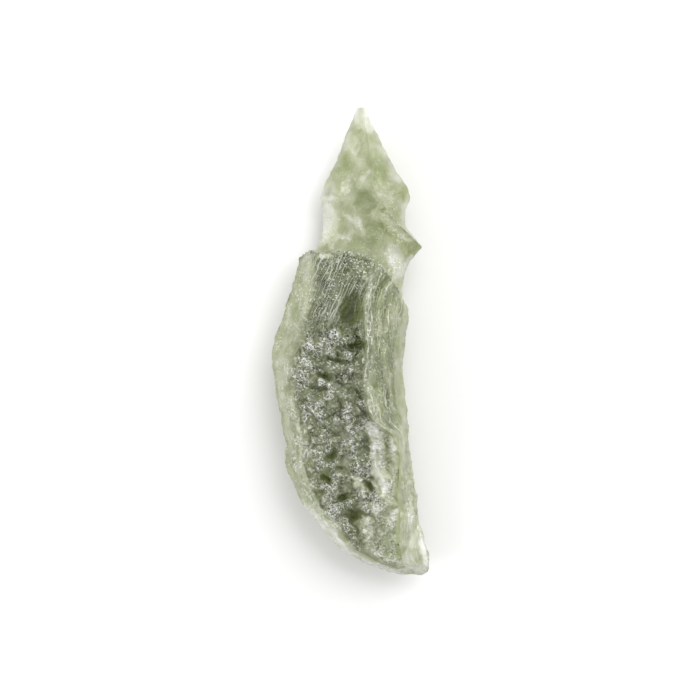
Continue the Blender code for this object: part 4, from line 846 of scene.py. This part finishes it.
def moldaviteGlass():
    # How much light goes through the skin is 1 less its haze and less its frost times the frostiness. The
    # rest meets a milky surface, which turns from green to pale and to white on the frost, and that white is
    # partly frost and partly painted glints. The paler milk is partly painted light too.
    material = bpy.data.materials.new("etched moldavite glass")
    material.use_nodes = True
    tree = material.node_tree
    shader = tree.nodes["Principled BSDF"]
    shader.inputs["IOR"].default_value = glassLook["ior"]
    place = addNode(material, "ShaderNodeTexCoord").outputs["Object"]
    haze, pale, wormWeight, lineWeight, glintSpeckWeight, crestFrostAndPaintedGlint = [
        addNode(material, "ShaderNodeAttribute", {"attribute_name": name}).outputs["Fac"]
        for name in ("haze", "pale", "worms", "lines", "glintSpecks", "crestFrostAndPaintedGlint")]
    flow, strands = [addNode(material, "ShaderNodeAttribute", {"attribute_name": name}).outputs["Vector"]
                     for name in ("flow", "strands")]
    # worms and specks are white where a noise on the stone's own place comes near a level: partly frost,
    # partly painted glints
    catch = glassLook["catch"]
    catching = addNode(material, "ShaderNodeTexNoise",
                       {"Scale": 1 / (catch["size"] * mm), "Detail": catch["detail"]}, {"Vector": place})
    share = addNode(material, "ShaderNodeMapRange",
                    {"From Min": catch["dull"], "From Max": catch["bright"],
                     "To Min": catch["least"], "To Max": 1.0}, {"Value": catching.outputs[0]}).outputs[0]
    caught = [addNode(material, "ShaderNodeMath", {"operation": "MULTIPLY"}, {0: weight, 1: share}).outputs[0]
              for weight in (crestFrostAndPaintedGlint, wormWeight, glintSpeckWeight)]
    frostAndPaintedGlint = caught[0]
    marks = []
    for mark, weight in (("worm", caught[1]), ("glintSpeck", caught[2])):
        look = glassLook[mark]
        noise = addNode(material, "ShaderNodeTexNoise",
                        {"Scale": 1 / (look["size"] * mm), "Detail": look["detail"],
                         "Distortion": look["distortion"]}, {"Vector": place})
        offLevel = addNode(material, "ShaderNodeMath", {"operation": "SUBTRACT", 1: look["level"]},
                           {0: noise.outputs[0]})
        distance = addNode(material, "ShaderNodeMath", {"operation": "ABSOLUTE"}, {0: offLevel.outputs[0]})
        white = addNode(material, "ShaderNodeMapRange", {"From Min": look["width"], "From Max": 0.0},
                        {"Value": distance.outputs[0]})
        marks.append((white.outputs[0], weight))
    # Two sets of lines, which cross each other, are the tops of a wave across the flow. At a scale of 1 the
    # wave texture has 10 waves in a length of pi. Each line brightens and dulls along its length.
    strength, wobble = glassLook["strength"], glassLook["wobble"]
    for mark, on in (("line", flow), ("strand", strands)):
        look = glassLook[mark]
        wave = addNode(material, "ShaderNodeTexWave",
                       {"Scale": look["perSpacing"] * math.pi / 10, "Distortion": look["stray"],
                        "Detail": wobble["detail"], "Detail Scale": wobble["detailScale"]}, {"Vector": on})
        white = addNode(material, "ShaderNodeMapRange", {"From Min": 1 - look["width"], "From Max": 1.0},
                        {"Value": wave.outputs[1]})
        noise = addNode(material, "ShaderNodeTexNoise",
                        {"Scale": strength["scale"], "Detail": strength["detail"]}, {"Vector": on})
        bright = addNode(material, "ShaderNodeMapRange",
                         {"From Min": strength["dull"], "From Max": strength["bright"],
                          "To Min": strength["least"], "To Max": 1.0}, {"Value": noise.outputs[0]})
        weight = addNode(material, "ShaderNodeMath", {"operation": "MULTIPLY"},
                         {0: bright.outputs[0], 1: lineWeight})
        marks.append((white.outputs[0], weight.outputs[0]))
    for white, weight in marks:
        weighted = addNode(material, "ShaderNodeMath", {"operation": "MULTIPLY"}, {0: white, 1: weight})
        frostAndPaintedGlint = addNode(material, "ShaderNodeMath", {"operation": "MAXIMUM"},
                        {0: frostAndPaintedGlint, 1: weighted.outputs[0]}).outputs[0]
    # frosted crests with their painted glints, and milky skin with its painted light, hold back the light
    # that clear glass lets through
    unfrosted = addNode(material, "ShaderNodeMath",
                        {"operation": "MULTIPLY_ADD", 1: -glassLook["frostiness"], 2: 1.0}, {0: frostAndPaintedGlint})
    clear = addNode(material, "ShaderNodeMath", {"operation": "SUBTRACT", "use_clamp": True},
                    {0: unfrosted.outputs[0], 1: haze})
    milkAndPaintedLight = addNode(material, "ShaderNodeValToRGB", (), {"Fac": pale})
    shades = glassLook["milkAndPaintedLight"]
    for k in range(1, len(shades) - 1):
        milkAndPaintedLight.color_ramp.elements.new(k / (len(shades) - 1))
    for stop, shade in zip(milkAndPaintedLight.color_ramp.elements, shades):
        stop.color = linearColour(shade)
    colour = addNode(material, "ShaderNodeMix", {"data_type": "RGBA", 7: linearColour(glassLook["frostAndPaintedGlint"])},
                     {0: frostAndPaintedGlint, 6: milkAndPaintedLight.outputs[0]})
    rough = addNode(material, "ShaderNodeMapRange",
                    {"From Max": glassLook["satinHaze"], "To Min": glassLook["clearRoughness"],
                     "To Max": glassLook["satinRoughness"]}, {"Value": haze})
    bump = addNode(material, "ShaderNodeBump", {"Strength": 1.0, "Distance": glassLook["etchHeight"] * mm},
                   {"Height": frostAndPaintedGlint})
    tree.links.new(clear.outputs[0], shader.inputs["Transmission Weight"])
    tree.links.new(colour.outputs[2], shader.inputs["Base Color"])
    tree.links.new(rough.outputs[0], shader.inputs["Roughness"])
    tree.links.new(bump.outputs[0], shader.inputs["Normal"])
    body = addNode(material, "ShaderNodeVolumeAbsorption",
                   {"Color": linearColour(glassLook["absorbColour"]), "Density": glassLook["absorbPerMetre"]})
    tree.links.new(body.outputs[0], tree.nodes["Material Output"].inputs["Volume"])
    print("glass:", len(tree.nodes), "nodes")
    return material


# A photographer's table top is matt white board: evenly pale with hardly any gloss, so it shows the stone's
# soft shadow and no reflection of it.
tableLook = {"colour": "#F4F4F3", "roughness": 0.9, "specular": 0.1}


def whiteTable():
    # one even colour all over
    material = bpy.data.materials.new("matt white table top")
    material.use_nodes = True
    shader = material.node_tree.nodes["Principled BSDF"]
    shader.inputs["Base Color"].default_value = linearColour(tableLook["colour"])
    shader.inputs["Roughness"].default_value = tableLook["roughness"]
    shader.inputs["Specular IOR Level"].default_value = tableLook["specular"]
    return material


stone = buildStone()
stone.data.materials.append(moldaviteGlass())
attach(stone, "root")
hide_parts("moldavite")
triangles = sum(len(face.vertices) - 2 for face in stone.data.polygons)
print("stone:", len(stone.data.vertices), "points,", triangles, "triangles")


# table, lights and camera

studio = {
    "tableHalfSide": 600.0,
    "airGap": 0.04,             # the stone touches the table at a few points only
    "ambient": 0.67,            # strength of the white room
    # direction it stands in as (turn from the photo's right, height) in degrees, distance, side, watts
    "keyLight": {"turn": 55.0, "height": 42.0, "distance": 210.0, "side": 230.0, "watts": 0.43},
    "fillLight": {"turn": 195.0, "height": 30.0, "distance": 300.0, "side": 190.0, "watts": 0.36},
    "lens": 220.0,              # long, as a close-up lens is
    "sensor": 36.0,
    "viewWidth": 49.0,          # what the photo's width takes in at the stone
    "focusHeight": 3.0,
    "viewCentre": (-0.035, -0.61),
    "nearClip": 10.0, "farClip": 10000.0,
}


def buildTable():
    # one square face under the stone
    side, z = studio["tableHalfSide"] * mm, -studio["airGap"] * mm
    corners = [(-side, -side, z), (side, -side, z), (side, side, z), (-side, side, z)]
    mesh = bpy.data.meshes.new("tableTop")
    mesh.from_pydata(corners, [], [(0, 1, 2, 3)])
    table = bpy.data.objects.new("tableTop", mesh)
    bpy.context.scene.collection.objects.link(table)
    mesh.materials.append(whiteTable())


def softLight(name):
    # a square light that faces the middle: it stands as far off as its distance, along its turn and height
    values = studio[name]
    turn, height = math.radians(values["turn"]), math.radians(values["height"])
    level = math.cos(height)
    direction = Vector((math.cos(turn) * level, math.sin(turn) * level, math.sin(height)))
    data = bpy.data.lights.new(name, "AREA")
    data.shape = "SQUARE"
    data.size = values["side"] * mm
    data.energy = values["watts"]
    light = bpy.data.objects.new(name, data)
    light.location = direction * values["distance"] * mm
    light.rotation_euler = direction.to_track_quat("Z", "Y").to_euler()
    bpy.context.scene.collection.objects.link(light)


def buildCamera():
    # straight above the view's centre, at the lens times the view's width over the sensor's
    data = bpy.data.cameras.new("photoCamera")
    data.lens = studio["lens"]
    data.sensor_width = studio["sensor"]
    data.clip_start = studio["nearClip"] * mm
    data.clip_end = studio["farClip"] * mm
    camera = bpy.data.objects.new("photoCamera", data)
    distance = studio["lens"] * studio["viewWidth"] / studio["sensor"]
    x, y = studio["viewCentre"]
    camera.location = Vector((x, y, studio["focusHeight"] + distance)) * mm
    bpy.context.scene.collection.objects.link(camera)
    bpy.context.scene.camera = camera


def buildRoom():
    # the same white light from all round
    world = bpy.data.worlds.new("whiteRoom")
    world.use_nodes = True
    world.node_tree.nodes["Background"].inputs["Color"].default_value = (1, 1, 1, 1)
    world.node_tree.nodes["Background"].inputs["Strength"].default_value = studio["ambient"]
    bpy.context.scene.world = world
    bpy.context.scene.view_settings.view_transform = "Standard"


buildTable()
softLight("keyLight")
softLight("fillLight")
buildCamera()
buildRoom()
print("studio built")
